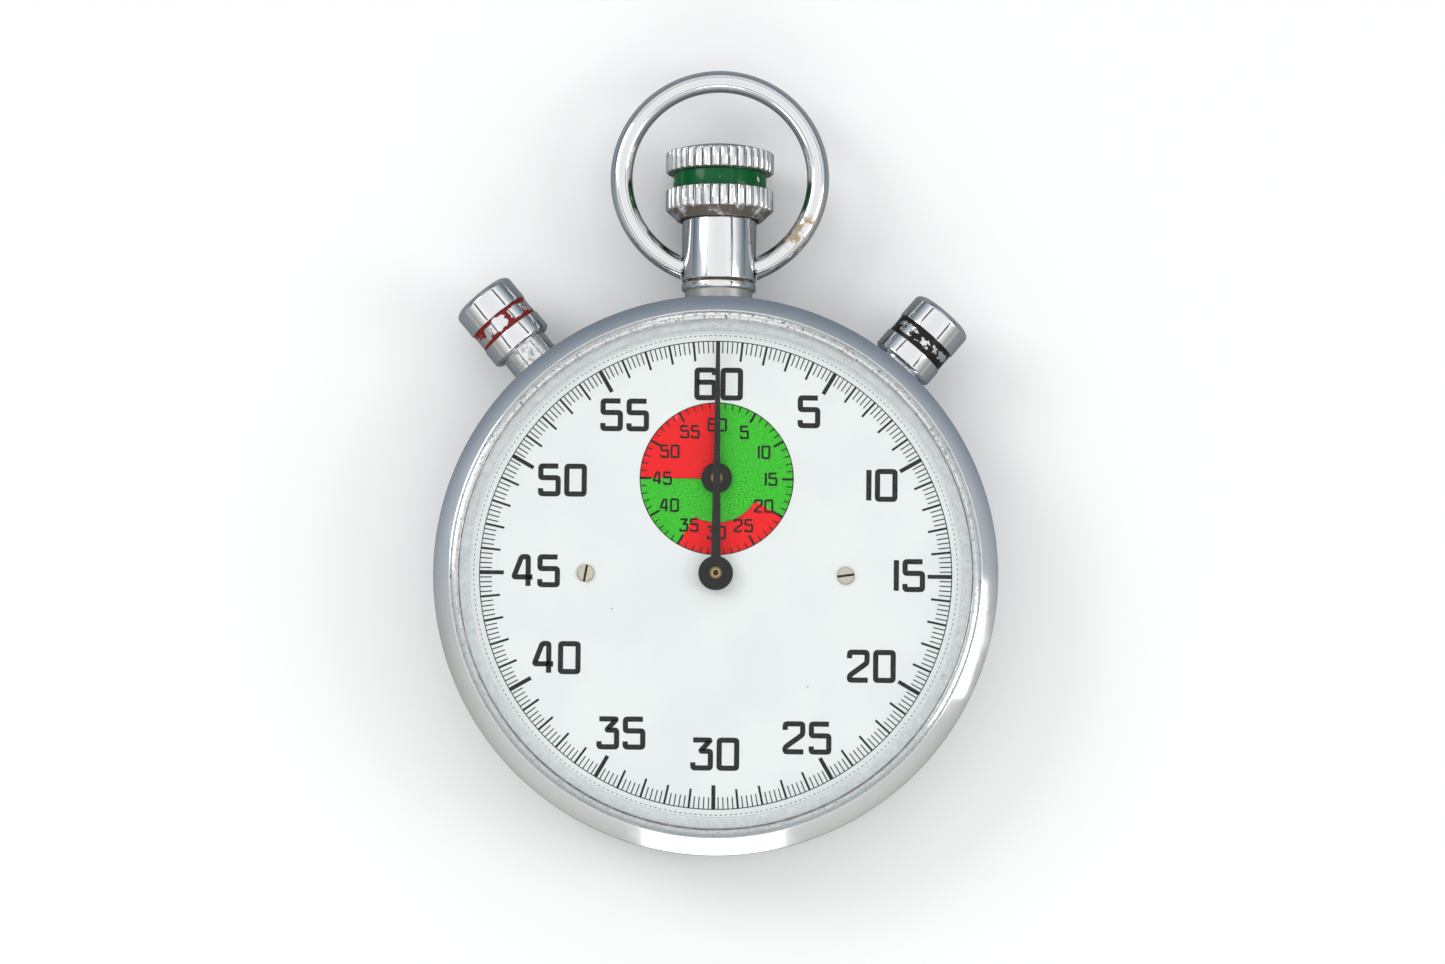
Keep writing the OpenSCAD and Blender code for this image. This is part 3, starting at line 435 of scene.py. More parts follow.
def bezel_dirt(t):
    r = t.distance("X", "Y")
    seam = t.band(r, crystal_high.x + 0.22 * MM, crystal_high.x + 0.08 * MM)
    land = t.band(r, bezel_high.x - 1.7 * MM, bezel_high.x - 1.9 * MM)
    crust = t.math("MULTIPLY", seam, patchy(t, 0.9 * MM, 0.3, 0.55))
    specks = t.math("MULTIPLY", land, patchy(t, 0.3 * MM, 0.5, 0.66, 2.0))
    # The specks are weighted from 0.4 up to 0.9 towards 12 o'clock, so the land is darker towards the
    # top.
    heavier_to_top = t.band(t.axis("Y"), -4 * MM, 24 * MM, 0.4, 0.9)
    return t.math("MAXIMUM", t.math("MULTIPLY", crust, 0.9), t.math("MULTIPLY", specks, heavier_to_top))


def crown_dirt(t):
    depth = t.distance("X", "Z", (0.0, AXIS_Z))
    low = t.band(depth, 5.26 * MM, 5.12 * MM)
    flutes = t.math("MULTIPLY", low, patchy(t, 1.6 * MM, 0.36, 0.5))
    behind = t.band(t.axis("Y"), crown_high.y - 1.6 * MM, crown_high.y - 1.9 * MM)
    return t.math("MULTIPLY", t.math("MULTIPLY", flutes, behind), 0.92)


def pendant_dirt(t):
    up = t.math("SUBTRACT", t.axis("Y"), NECK_Y)
    groove = t.band(t.math("ABSOLUTE", t.math("SUBTRACT", up, 0.87 * MM)), 0.22 * MM, 0.1 * MM)
    foot = t.math("MAXIMUM", t.math("MULTIPLY", t.band(up, 0.15 * MM, 0.0), 0.55), groove)
    return t.math("MULTIPLY", foot, patchy(t, 0.8 * MM, 0.2, 0.5))


def bow_dirt(t):
    spot = t.band(t.distance("X", "Y", (8.3 * MM, bow_low.y + 4.6 * MM)), 2.4 * MM, 1.2 * MM)
    return t.math("MULTIPLY", spot, patchy(t, 1.1 * MM, 0.5, 0.56, 4.0))


def neck_dirt(t):
    return t.math("MULTIPLY", patchy(t, 0.7 * MM, 0.45, 0.7), 0.7)


def metal(name, base, rough, grain, seed=0.0, shaded_below_z=None):
    """Plain worked metal with fine parallel grain and faint stains; painted shade darkens it below
    the given height, such as a screw slot's floor.
    """
    t = Tree(name, base, rough, metallic=1.0)
    lines = t.noise(0.12 * MM, 3, where=t.stretch((1, 0.03, 1), (0, 0, grain)), seed=seed)
    stain = t.band(t.noise(3 * MM, 4, seed=seed + 1), 0.5, 0.75)
    tone = t.mix(t.math("MULTIPLY", stain, 0.4), base, tuple(c * 0.75 for c in base))
    if shaded_below_z:
        # painted shade: the screw slot's floor and the foot of the head go dark brown
        tone = t.mix(t.band(t.axis("Z"), shaded_below_z, shaded_below_z - 0.05 * MM), tone, srgb("3A3128"))
    t.feed("Base Color", tone)
    t.feed("Roughness", t.blend(lines, rough * 0.7, rough * 1.4))
    t.bump(lines, 0.003 * MM)
    return t.mat


def striped(name):
    """Nickel bridges with broad parallel polishing stripes."""
    t = Tree(name, srgb("D8D5CC"), 0.25, metallic=1.0)
    wave = t.nodes.new("ShaderNodeTexWave")
    t.links.new(t.stretch((1, 1, 1), (0, 0, 30)), wave.inputs["Vector"])
    wave.inputs["Scale"].default_value = 120.0
    wave.inputs["Distortion"].default_value = 0.3
    t.feed("Roughness", t.blend(wave.outputs["Fac"], 0.18, 0.4))
    t.feed("Base Color", t.mix(wave.outputs["Fac"], srgb("D8D5CC"), srgb("BDB9AE")))
    t.bump(wave.outputs["Fac"], 0.01 * MM)
    return t.mat


def lacquer(name, colour, angle, edge_low, edge_high, keep, seed):
    """Lacquer in a groove, worn back to the chrome except along the groove's edges."""
    t = Tree(name, colour, 0.25, specular=0.2)
    way = turned(angle, 1.0)
    along = t.math("ADD", t.math("MULTIPLY", t.axis("X"), way.x),
                   t.math("MULTIPLY", t.axis("Y"), way.y))
    from_edge = t.math("MINIMUM", t.math("SUBTRACT", along, edge_low),
                       t.math("SUBTRACT", edge_high, along))
    ragged = t.noise(1.3 * MM, 6, 0.6, seed=seed)
    edge = t.band(from_edge, 0.55 * MM, 0.1 * MM)
    here = t.math("ADD", t.math("MULTIPLY", edge, 0.22), ragged)
    paint = t.band(here, keep, keep + 0.03)
    t.feed("Base Color", t.mix(paint, CHROME, colour))
    t.feed("Metallic", t.blend(paint, 1.0, 0.0))
    t.feed("Roughness", t.blend(paint, 0.12, 0.28))
    t.bump(t.math("ADD", paint, t.math("MULTIPLY", ragged, 0.3)), 0.03 * MM)
    return t.mat


def crown_lacquer():
    """Glossy green paint with a few chips down to a pale ground."""
    t = Tree("crown_lacquer", srgb("005A2C"), 0.2, coat=0.12, specular=0.2)
    chips = t.band(t.noise(1.4 * MM, 4, seed=25.0), 0.64, 0.66)
    t.feed("Base Color", t.mix(chips, t.mix(t.noise(0.8 * MM), srgb("004C24"), srgb("00642F")),
                               srgb("D9DBD4")))
    t.feed("Roughness", t.blend(chips, 0.16, 0.45))
    t.bump(chips, -0.02 * MM)
    return t.mat


def enamel():
    """The dial's white paint: a little uneven, with brown specks."""
    t = Tree("dial_white", srgb("F0F2F1"), 0.38, coat=0.15)
    tone = t.noise(9 * MM, 3, seed=1.0)
    sparse = t.band(t.noise(6 * MM, 2, seed=5.0), 0.5, 0.62)
    dots = t.math("MULTIPLY", t.band(t.specks(1.9 * MM, 2.0), 0.075, 0.045), sparse)
    field = t.mix(t.band(tone, 0.3, 0.7), srgb("ECEFEE"), srgb("E6E9E9"))
    t.feed("Base Color", t.mix(t.math("MULTIPLY", dots, 0.8), field, srgb("7A5A46")))
    t.bump(t.noise(0.25 * MM, 3, seed=2.0), 0.002 * MM)
    return t.mat


def ink(name, colour, grit, worn=0.0, seed=0.0):
    """Printed colour with fine grit; worn says how much has rubbed thin in patches."""
    t = Tree(name, colour, 0.55, specular=0.15)
    fine = t.noise(0.16 * MM, 2, seed=seed)
    light = tuple(min(1.0, c * (1 + grit) + 0.1 * grit) for c in colour)
    dark = tuple(c * (1 - grit) for c in colour)
    tone = t.mix(t.band(fine, 0.35, 0.65), dark, light)
    rubbed = t.math("MULTIPLY", patchy(t, 4.5 * MM, 0.62, 0.7, seed + 2),
                    patchy(t, 0.3 * MM, 0.45, 0.55, seed))
    t.feed("Base Color", t.mix(t.math("MULTIPLY", rubbed, worn), tone, srgb("C9CBC9")))
    t.bump(fine, 0.002 * MM)
    return t.mat


def hand_black():
    t = Tree("hand_black", srgb("1C1D1A"), 0.34, specular=0.25)
    rub = patchy(t, 0.5 * MM, 0.58, 0.68, 3.0)
    t.feed("Base Color", t.mix(t.math("MULTIPLY", rub, 0.3), srgb("1C1D1A"), srgb("4A4840")))
    t.feed("Roughness", t.blend(rub, 0.3, 0.5))
    t.bump(t.noise(0.12 * MM, 3), 0.002 * MM)
    return t.mat


def crystal_clear():
    """Domed acrylic: clear on top, with a frosted, faintly scratched skin at its rim."""
    t = Tree("crystal_clear", (1.0, 1.0, 1.0), 0.05)
    scratch = t.band(t.noise(0.2 * MM, 3, where=t.stretch((1, 0.02, 1), (0, 0, 62))), 0.66, 0.72)
    r = t.distance("X", "Y")
    rim = t.band(r, crystal_high.x - 1.15 * MM, crystal_high.x - 0.85 * MM)
    haze = t.math("MULTIPLY", rim, t.band(t.noise(1.5 * MM, 5), 0.2, 0.8, 0.2, 0.5))
    clear = t.nodes.new("ShaderNodeBsdfTransparent")
    clear.inputs["Color"].default_value = (0.995, 1.0, 0.998, 1.0)
    gloss = t.nodes.new("ShaderNodeBsdfGlossy")
    gloss.inputs["Color"].default_value = (1.0, 1.0, 1.0, 1.0)
    t.join(t.blend(scratch, 0.03, 0.25), gloss.inputs["Roughness"])
    milk = t.nodes.new("ShaderNodeBsdfDiffuse")
    t.join(t.mix(patchy(t, 0.7 * MM, 0.55, 0.75), srgb("E2E8E9"), srgb("B4B2A6")),
           milk.inputs["Color"])
    skin = t.nodes.new("ShaderNodeMixShader")
    t.join(haze, skin.inputs[0])
    t.links.new(clear.outputs[0], skin.inputs[1])
    t.links.new(milk.outputs[0], skin.inputs[2])
    slant = t.nodes.new("ShaderNodeLayerWeight")
    slant.inputs["Blend"].default_value = 0.5
    gleam = t.math("MULTIPLY_ADD", t.math("POWER", slant.outputs["Facing"], 5.0), 0.8, 0.007)
    both = t.nodes.new("ShaderNodeMixShader")
    t.links.new(gleam, both.inputs[0])
    t.links.new(skin.outputs[0], both.inputs[1])
    t.links.new(gloss.outputs[0], both.inputs[2])
    t.links.new(both.outputs[0], t.nodes["Material Output"].inputs["Surface"])
    return t.mat


def ruby():
    t = Tree("ruby", srgb("A01440"), 0.12, coat=0.5)
    t.feed("Base Color", t.mix(t.noise(0.6 * MM), srgb("8C0E34"), srgb("C02458")))
    t.bump(t.noise(0.1 * MM), 0.001 * MM)
    return t.mat


STEEL = metal("steel", srgb("C9CBCE"), 0.22, 20)
BRASS = metal("brass", srgb("D9B778"), 0.28, 70, 3.0)
BLUED = metal("blued_steel", srgb("2B3560"), 0.2, 0, 5.0)
NICKEL = striped("nickel_striped")
PIVOT = metal("hand_pivot_brass", srgb("8C7A52"), 0.35, 45, 6.0)
# the screw heads get painted shade in their slots and at their feet, below this height
SCREW = metal("dial_screw_nickel", srgb("C9C4B4"), 0.3, 50, 8.0, dial_high.z + 0.2 * MM)
BLACK = hand_black()

SLOT_MATERIAL = {
    "chrome": chrome("chrome_plain"), "steel": STEEL, "blued_steel": BLUED, "nickel": NICKEL,
    "brass": BRASS, "crystal": crystal_clear(), "dial_white": enamel(), "hand_black": BLACK,
    "ruby": ruby(), "green_lacquer": ink("green_lacquer_plain", srgb("006B35"), 0.1),
    "red_lacquer": ink("red_lacquer_plain", srgb("7A1C1C"), 0.1),
    "black_lacquer": ink("black_lacquer_plain", srgb("1C1A17"), 0.1),
}
for row in frame["record"]["subparts"]:
    node = frame["nodes"][row["node"]]
    node.data.materials.clear()
    node.data.materials.append(SLOT_MATERIAL[row["material_slot"]])


# ---------------------------------------------------------------- shared steps for the pieces


def scaled(profile):
    """A profile written in millimetres, in metres."""
    return [(r * MM, h * MM) for r, h in profile]


def merged(name, *meshes):
    build = bmesh.new()
    for mesh in meshes:
        build.from_mesh(mesh)
    out = bpy.data.meshes.new(name)
    build.to_mesh(out)
    build.free()
    return out


def cut(mesh, *cutters):
    """The mesh with the cutters' room taken out of it."""
    shelf = bpy.context.scene.collection.objects
    block = bpy.data.objects.new("block", mesh)
    tools = [bpy.data.objects.new("cutter", c) for c in cutters]
    for obj in (block, *tools):
        shelf.link(obj)
    for tool in tools:
        change = block.modifiers.new("cut", "BOOLEAN")
        change.operation, change.solver, change.object = "DIFFERENCE", "EXACT", tool
    shape = block.evaluated_get(bpy.context.evaluated_depsgraph_get())
    out = bpy.data.meshes.new_from_object(shape)
    for obj in (block, *tools):
        bpy.data.objects.remove(obj)
    return out


def arc(centre_r, centre_h, radius, start, end, steps=10):
    """Points of a profile along an arc, by angles from the outward direction."""
    angles = [math.radians(start + (end - start) * i / steps) for i in range(steps + 1)]
    return [(centre_r + radius * math.cos(a), centre_h + radius * math.sin(a)) for a in angles]


# ---------------------------------------------------------------- case

R = bezel_high.x
seat = crystal_high.x + 0.04 * MM
z0, z1 = bezel_low.z, bezel_high.z
bezel = piece("bezel_polished", lathe("bezel_polished", rounded([
    (seat, z0), (R, z0), (R, z0 + 0.28 * MM), (R - 1.58 * MM, z1 - 0.03 * MM),
    (R - 1.66 * MM, z1), (R - 1.84 * MM, z1 - 0.26 * MM), (seat + 0.45 * MM, z1 - 0.42 * MM),
    (seat + 0.12 * MM, z1 - 0.5 * MM), (seat, z1 - 0.62 * MM)], 0.05 * MM), steps=288),
    "case", chrome("chrome_bezel", bezel_dirt, srgb("6A5340"), seed=2.0), 50)
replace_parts(bezel, "bezel")

collar_r = reach("pendant_tube", 0)[2] - 0.35 * MM
tube_r = reach("left_push_tube", -PUSH_ANGLE)[2]
ring_in = dial_high.x + 0.1 * MM
mid = (case_low.z + case_high.z) / 2
half_h = (case_high.z - case_low.z) / 2
bulge = half_h * 1.6
bulge_end = math.degrees(math.asin(half_h / bulge))
wall = ([(ring_in, case_low.z + 0.9 * MM), (ring_in + 0.9 * MM, case_low.z + 0.9 * MM),
         (ring_in + 0.9 * MM, case_low.z)]
        + arc(case_high.x - bulge, mid, bulge, -bulge_end, bulge_end, 16)
        + [(ring_in, case_high.z)])
holes = [lathe("hole", [(0, 20 * MM), (r, 20 * MM), (r, 32 * MM), (0, 32 * MM)], outward(a), 64)
         for a, r in ((0, collar_r + 0.02 * MM), (PUSH_ANGLE, tube_r + 0.02 * MM),
                      (-PUSH_ANGLE, tube_r + 0.02 * MM))]
side = piece("case_band", cut(lathe("case_band", wall, steps=288), *holes), "case",
             chrome("chrome_case", seed=5.0))
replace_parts(side, "case_middle")

edge, lip = back_high.x, 25.08 * MM
curve = [math.radians(t) for t in range(0, 91, 6)]
flat = edge - 5.5 * MM
inner = ring_in + 0.4 * MM
cover = piece("cover_polished", lathe("cover_polished",
    [(0, 0)] + [(flat + (edge - flat) * math.sin(t), 2.0 * MM * (1 - math.cos(t))) for t in curve]
    + [(edge, case_low.z), (lip, case_low.z), (lip, back_high.z), (inner, back_high.z)]
    + [(flat + (inner - flat) * math.sin(t), 0.9 * MM + 1.5 * MM * (1 - math.cos(t)))
       for t in reversed(curve)] + [(0, 0.9 * MM)], steps=288),
    "case", chrome("chrome_back", seed=9.0))
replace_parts(cover, "back_cover")


# ---------------------------------------------------------------- dial

top = dial_high.z
dial_r = dial_high.x + 0.09 * MM  # closes the gap round the CAD disc


def disc(name, radius, low, high, centre=CENTRE, steps=192):
    return lathe(name, [(0, low), (radius, low), (radius, high), (0, high)],
                 Matrix.Translation((centre.x, centre.y, 0)), steps)


plate = piece("dial_plate", disc("dial_plate", dial_r, dial_low.z, top), "case",
              SLOT_MATERIAL["dial_white"])
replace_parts(plate, "dial")

# seconds scale: three lengths of tick, inwards from one circle, and a dashed circle outside it
TICKS = 300
TICK_TURN = 360 / TICKS
DASH_R = 23.97 * MM
scale = Plates(top, top + 3 * PRINT_THICK)
scale.ring(CENTRE, TRACK_R, 0.09 * MM, step=2.0)
for i in range(TICKS):
    size = ((2.4, 0.4) if i % 25 == 0 else (1.93, 0.22) if i % 5 == 0 else (1.2, 0.11))
    length, width = scaled([size])[0]
    scale.strip([turned(TICK_TURN * i, TRACK_R), turned(TICK_TURN * i, TRACK_R - length)], width)
for i in range(TICKS):
    scale.strip([turned(TICK_TURN * i + a, DASH_R) for a in (0.3, 0.85)], 0.06 * MM)
# the middle of each number, in millimetres
NUMBERS_AT = {5: (9.1, 16.4), 10: (16.4, 9.1), 15: (19.2, 0.1), 20: (15.5, -9.0),
              25: (9.2, -16.2), 30: (0.1, -17.9), 35: (-9.2, -15.9), 40: (-15.7, -8.45),
              45: (-17.85, 0.2), 50: (-15.3, 9.3), 55: (-9.2, 15.9), 60: (0.1, 19.1)}
for value, at in NUMBERS_AT.items():
    write_number(scale, value, Vector(at) * MM, 3.3 * MM, 2.25 * MM, 0.34 * MM, 0.52 * MM)
piece("seconds_print", scale.mesh("seconds_print"), "case",
      ink("print_black", srgb("1E1F1E"), 0.15, 0.8, 11.0))


# minute counter: a green field with red sectors, then its own black print


def sector(name, inner, outer, start, end, low, high):
    """A flat plate between two radii and two clock angles of the counter."""
    plates = Plates(low, high)
    plates.ring(MINUTE_C, (inner + outer) / 2, outer - inner, start, end, 2.0)
    return plates.mesh(name)


piece("counter_green", disc("counter_green", COUNTER_R, top, top + PRINT_THICK, MINUTE_C),
      "case", ink("counter_green", srgb("2CB914"), 0.35, 0.1, 21.0))
red = merged("counter_red",
             sector("quarter", 0.2 * MM, COUNTER_R, 270, 360, top, top + 2 * PRINT_THICK),
             sector("arc", RED_ARC_R, COUNTER_R, 120, 210, top, top + 2 * PRINT_THICK))
piece("counter_red", red, "case", ink("counter_red", srgb("F4060E"), 0.2, 0.1, 31.0))
minutes = Plates(top, top + 4 * PRINT_THICK)
minutes.ring(MINUTE_C, COUNTER_R, 0.1 * MM)
minutes.strip([MINUTE_C + turned(270, r) for r in (0.5 * MM, COUNTER_R)], 0.05 * MM)
minutes.ring(MINUTE_C, RED_ARC_R, 0.05 * MM, 120, 210)
for i in range(60):
    length, width = (1.1, 0.23) if i % 5 == 0 else (0.6, 0.12)
    minutes.strip([MINUTE_C + turned(6 * i, COUNTER_R),
                   MINUTE_C + turned(6 * i, COUNTER_R - length * MM)], width * MM)
for value in range(5, 61, 5):
    write_number(minutes, value, MINUTE_C + turned(6 * value, 5.4 * MM), 1.36 * MM, 0.9 * MM,
                 0.14 * MM, 0.21 * MM)
piece("minutes_print", minutes.mesh("minutes_print"), "case",
      ink("print_black_fine", srgb("101210"), 0.15, 0.1, 14.0))

# slotted dial screws, one slot nearly upright and one nearly level
screw_low, screw_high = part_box("dial_screws")
head_r = 0.85 * MM
heads = []
for sign, turn in ((-1, 80), (1, 8)):
    x = sign * (screw_high.x - head_r)
    head = lathe("head", [(0, screw_low.z), (0.35 * MM, screw_low.z), (0.35 * MM, top),
                          (head_r, top), (head_r, top + 0.2 * MM),
                          (head_r - 0.07 * MM, top + 0.27 * MM), (0, top + 0.3 * MM)], steps=48)
    slot_box = bpy.data.meshes.new("slot")
    build = bmesh.new()
    bmesh.ops.create_cube(build, size=1.0, matrix=Matrix.Translation((0, 0, top + 0.4 * MM))
                          @ Matrix.Diagonal((4 * MM, 0.24 * MM, 0.6 * MM, 1)))
    build.to_mesh(slot_box)
    build.free()
    head = cut(head, slot_box)
    head.transform(Matrix.Translation((x, 0, 0)) @ Matrix.Rotation(math.radians(turn), 4, "Z"))
    heads.append(head)
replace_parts(piece("dial_screw_heads", merged("dial_screw_heads", *heads), "case", SCREW),
            "dial_screws")


# ---------------------------------------------------------------- hands


def blade(name, centre, length, root, low, thick):
    """A tapering hand with a ridge along its middle; root is its width at its hub."""
    rows = [(0.0, root), (length / 2, root * 0.65), (length, root * 0.38)]
    points, faces = [], []
    for y, width in rows:
        edge_z = low + thick * 0.45
        points += [(centre.x + x, centre.y + y, z) for x, z in (
            (-width / 2, low), (width / 2, low), (width / 2, edge_z),
            (0.0, low + thick), (-width / 2, edge_z))]
    for row in range(len(rows) - 1):
        for k in range(5):
            a, b = row * 5 + k, row * 5 + (k + 1) % 5
            faces.append([a, b, b + 5, a + 5])
    end = 5 * (len(rows) - 1)
    faces += [[4, 3, 2, 1, 0], [end + k for k in range(5)]]
    return mesh_of(name, points, faces)


def hub(name, centre, radius, low, thick):
    return lathe(name, [(0, low), (radius, low), (radius, low + thick * 0.6),
                        (radius - 0.12 * MM, low + thick), (1.0 * MM, low + thick),
                        (0.95 * MM, low + thick + 0.12 * MM), (0, low + thick + 0.12 * MM)],
                 Matrix.Translation((centre.x, centre.y, 0)), 96)


for name, centre, root, body in (
        ("seconds_hand", CENTRE, 1.03 * MM, "seconds_arbor"),
        ("minute_hand", MINUTE_C, 0.65 * MM, "minute_arbor")):
    low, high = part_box(name)
    radius = high.x
    hand = merged(name + "_black",
                  blade(name, centre, high.y - centre.y, root, low.z, 0.2 * MM),
                  hub(name, centre, radius, low.z, 0.22 * MM))
    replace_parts(piece(name + "_black", hand, body, BLACK), name)
    at = Matrix.Translation((centre.x, centre.y, 0))
    rim = lathe(name + "_tube", scaled([(0.42, 0), (0.6, 0), (0.6, 0.12), (0.56, 0.16),
                                        (0.46, 0.16), (0.42, 0.12)]),
                Matrix.Translation((0, 0, low.z + 0.28 * MM)) @ at, 64)
    piece(name + "_tube", rim, body, PIVOT)
    pin = lathe(name + "_pin", scaled([(0, 0), (0.3, 0), (0.3, 0.1), (0.2, 0.14), (0, 0.14)]),
                Matrix.Translation((0, 0, low.z + 0.3 * MM)) @ at, 48)
    piece(name + "_pin", pin, body, BLACK)


# ---------------------------------------------------------------- crystal

rim_z = crystal_low.z + 1.9 * MM
outer_r, inner_r = crystal_high.x, crystal_high.x - 1 * MM
rise = crystal_high.z - rim_z


def dome(radius, height, z, steps):
    big = (radius * radius + height * height) / (2 * height)
    for i in steps:
        a = i / 40 * math.asin(radius / big)
        yield big * math.sin(a), z + height - big * (1 - math.cos(a))


shoulder = 0.5 * MM
outside = list(dome(outer_r, rise, rim_z, range(0, 41)))
skin = [p for p in outside if p[0] < outer_r - shoulder]
corner, down = Vector((outer_r, rim_z)), Vector((outer_r, rim_z - shoulder))
skin += [tuple(p) for p in bend(Vector(skin[-1]), corner, down, 8)[1:]]
skin += [(outer_r, crystal_low.z), (inner_r, crystal_low.z)]
skin += list(dome(inner_r, rise - 0.9 * MM, rim_z - 0.2 * MM, range(40, -1, -1)))
glass = piece("crystal_dome", lathe("crystal_dome", skin, steps=256), "case",
              SLOT_MATERIAL["crystal"], 60)
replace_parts(glass, "crystal")


# ---------------------------------------------------------------- pendant and bow

foot, mouth, pendant_r = reach("pendant_tube", 0)
bore_r, stem_hole_r = 2.35 * MM, 0.95 * MM
groove_r = pendant_r - 0.16 * MM
tube = lathe("pendant_polished", rounded([
    (stem_hole_r, foot), (collar_r, foot), (collar_r, NECK_Y), (pendant_r, NECK_Y + 0.1 * MM),
    (pendant_r, NECK_Y + 0.7 * MM), (groove_r, NECK_Y + 0.8 * MM),
    (groove_r, NECK_Y + 0.95 * MM), (pendant_r, NECK_Y + 1.05 * MM),
    (pendant_r, mouth), (bore_r, mouth), (bore_r, foot + 0.5 * MM),
    (stem_hole_r, foot + 0.5 * MM)], 0.12 * MM), outward(0), 144)
wire_r, bow_r = 1.1 * MM, 9.83 * MM
bow_c = bow_high.y - bow_r - wire_r
face_x = pendant_r + 0.1 * MM
bow_end_x = face_x + 0.35 * MM
pivot_y = bow_c - math.sqrt(bow_r ** 2 - bow_end_x ** 2)


def pivot_bars(radius, start, end):
    """Two round bars on the bow's axis, one each side of the pendant."""
    start, end = start * MM, end * MM
    return [lathe("bar", [(0, start), (radius, start), (radius, end), (0, end)],
                  Matrix.Translation((0, pivot_y, AXIS_Z))
                  @ Matrix.Rotation(math.radians(90 * s), 4, "Y"), 48) for s in (-1, 1)]


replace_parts(piece("pendant_polished", cut(tube, *pivot_bars(0.85 * MM, 2.8, 6)), "case",
                  chrome("chrome_pendant", pendant_dirt, seed=12.0)), "pendant_tube")

points, faces = [], []
first = math.asin(bow_end_x / bow_r)
STEPS, SIDES = 160, 24
for i in range(STEPS + 1):
    a = -math.pi / 2 + first + (2 * math.pi - 2 * first) * i / STEPS
    way = Vector((math.cos(a), math.sin(a), 0))
    along = Vector((-way.y, way.x, 0))
    for k in range(SIDES):
        t = 2 * math.pi * k / SIDES
        p = Vector((0, bow_c, AXIS_Z)) + way * (bow_r + wire_r * math.cos(t))
        p.z += wire_r * math.sin(t)
        if i in (0, STEPS):
            p += along * ((math.copysign(face_x, way.x) - p.x) / along.x)
        points.append(p)
for i in range(STEPS):
    for k in range(SIDES):
        n = (k + 1) % SIDES
        faces.append([i * SIDES + k, (i + 1) * SIDES + k, (i + 1) * SIDES + n, i * SIDES + n])
faces += [list(range(SIDES)), [STEPS * SIDES + k for k in reversed(range(SIDES))]]
loop = mesh_of("bow_polished", points, faces)
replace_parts(piece("bow_polished", merged("bow_polished", loop, *pivot_bars(0.8 * MM, 2.95, 4.3)),
                  "bow", chrome("chrome_bow", bow_dirt, srgb("B09A78"), seed=15.0), 40),
            "bow")


# ---------------------------------------------------------------- crown

crown_foot = reach("crown", 0)[0]
FLUTES = 36
PER_FLUTE = 12
TURN = FLUTES * PER_FLUTE
# radius, distance above the crown's foot, depth of the flutes there
ROWS = [(3.9, 1.8, 0), (3.9, 0, 0), (4.25, 0, 0), (5.0, 0.72, 0), (5.2, 0.88, 0.08),
        (5.34, 0.98, 0.22), (5.4, 1.1, 0.4), (5.4, 2.86, 0.4), (5.32, 2.94, 0.24),
        (5.15, 3.0, 0.08), (4.45, 3.0, 0), (4.45, 4.75, 0), (5.15, 4.75, 0.08),
        (5.32, 4.81, 0.24), (5.4, 4.89, 0.4), (5.4, 6.65, 0.4), (5.34, 6.75, 0.24),
        (5.2, 6.83, 0.1), (5.0, 6.87, 0), (4.2, 7.12, 0), (3.2, 7.34, 0), (2.2, 7.52, 0),
        (1.4, 7.64, 0), (0.7, 7.74, 0), (0.001, 7.8, 0)]
points, faces = [], []
place = outward(0)
for radius, height, depth in ROWS:
    for i in range(TURN):
        u = 2 * ((i / PER_FLUTE) % 1) - 1
        r = radius - depth * (1 - math.sqrt(1 - u * u)) if depth else radius
        a = 2 * math.pi * i / TURN
        points.append(place @ Vector((r * MM * math.cos(a), r * MM * math.sin(a),
                                      crown_foot + height * MM)))
for row in range(len(ROWS) - 1):
    for i in range(TURN):
        j = (i + 1) % TURN
        faces.append([row * TURN + i, row * TURN + j, (row + 1) * TURN + j, (row + 1) * TURN + i])
faces += [list(reversed(range(TURN))), [(len(ROWS) - 1) * TURN + i for i in range(TURN)]]
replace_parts(piece("crown_fluted", mesh_of("crown_fluted", points, faces), "crown",
                  chrome("chrome_crown", crown_dirt, srgb("4B3D2E"), seed=18.0), 38),
            "crown")
paint_low, paint_high, paint_r = reach("crown_colour_ring", 0)
paint_in_r = 4.46 * MM
green = lathe("crown_lacquer", rounded([
    (paint_in_r, paint_low), (paint_r, paint_low), (paint_r, paint_high),
    (paint_in_r, paint_high)], 0.08 * MM), outward(0), 144)
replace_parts(piece("crown_lacquer", green, "crown", crown_lacquer()),
            "crown_colour_ring")


# ---------------------------------------------------------------- pushers

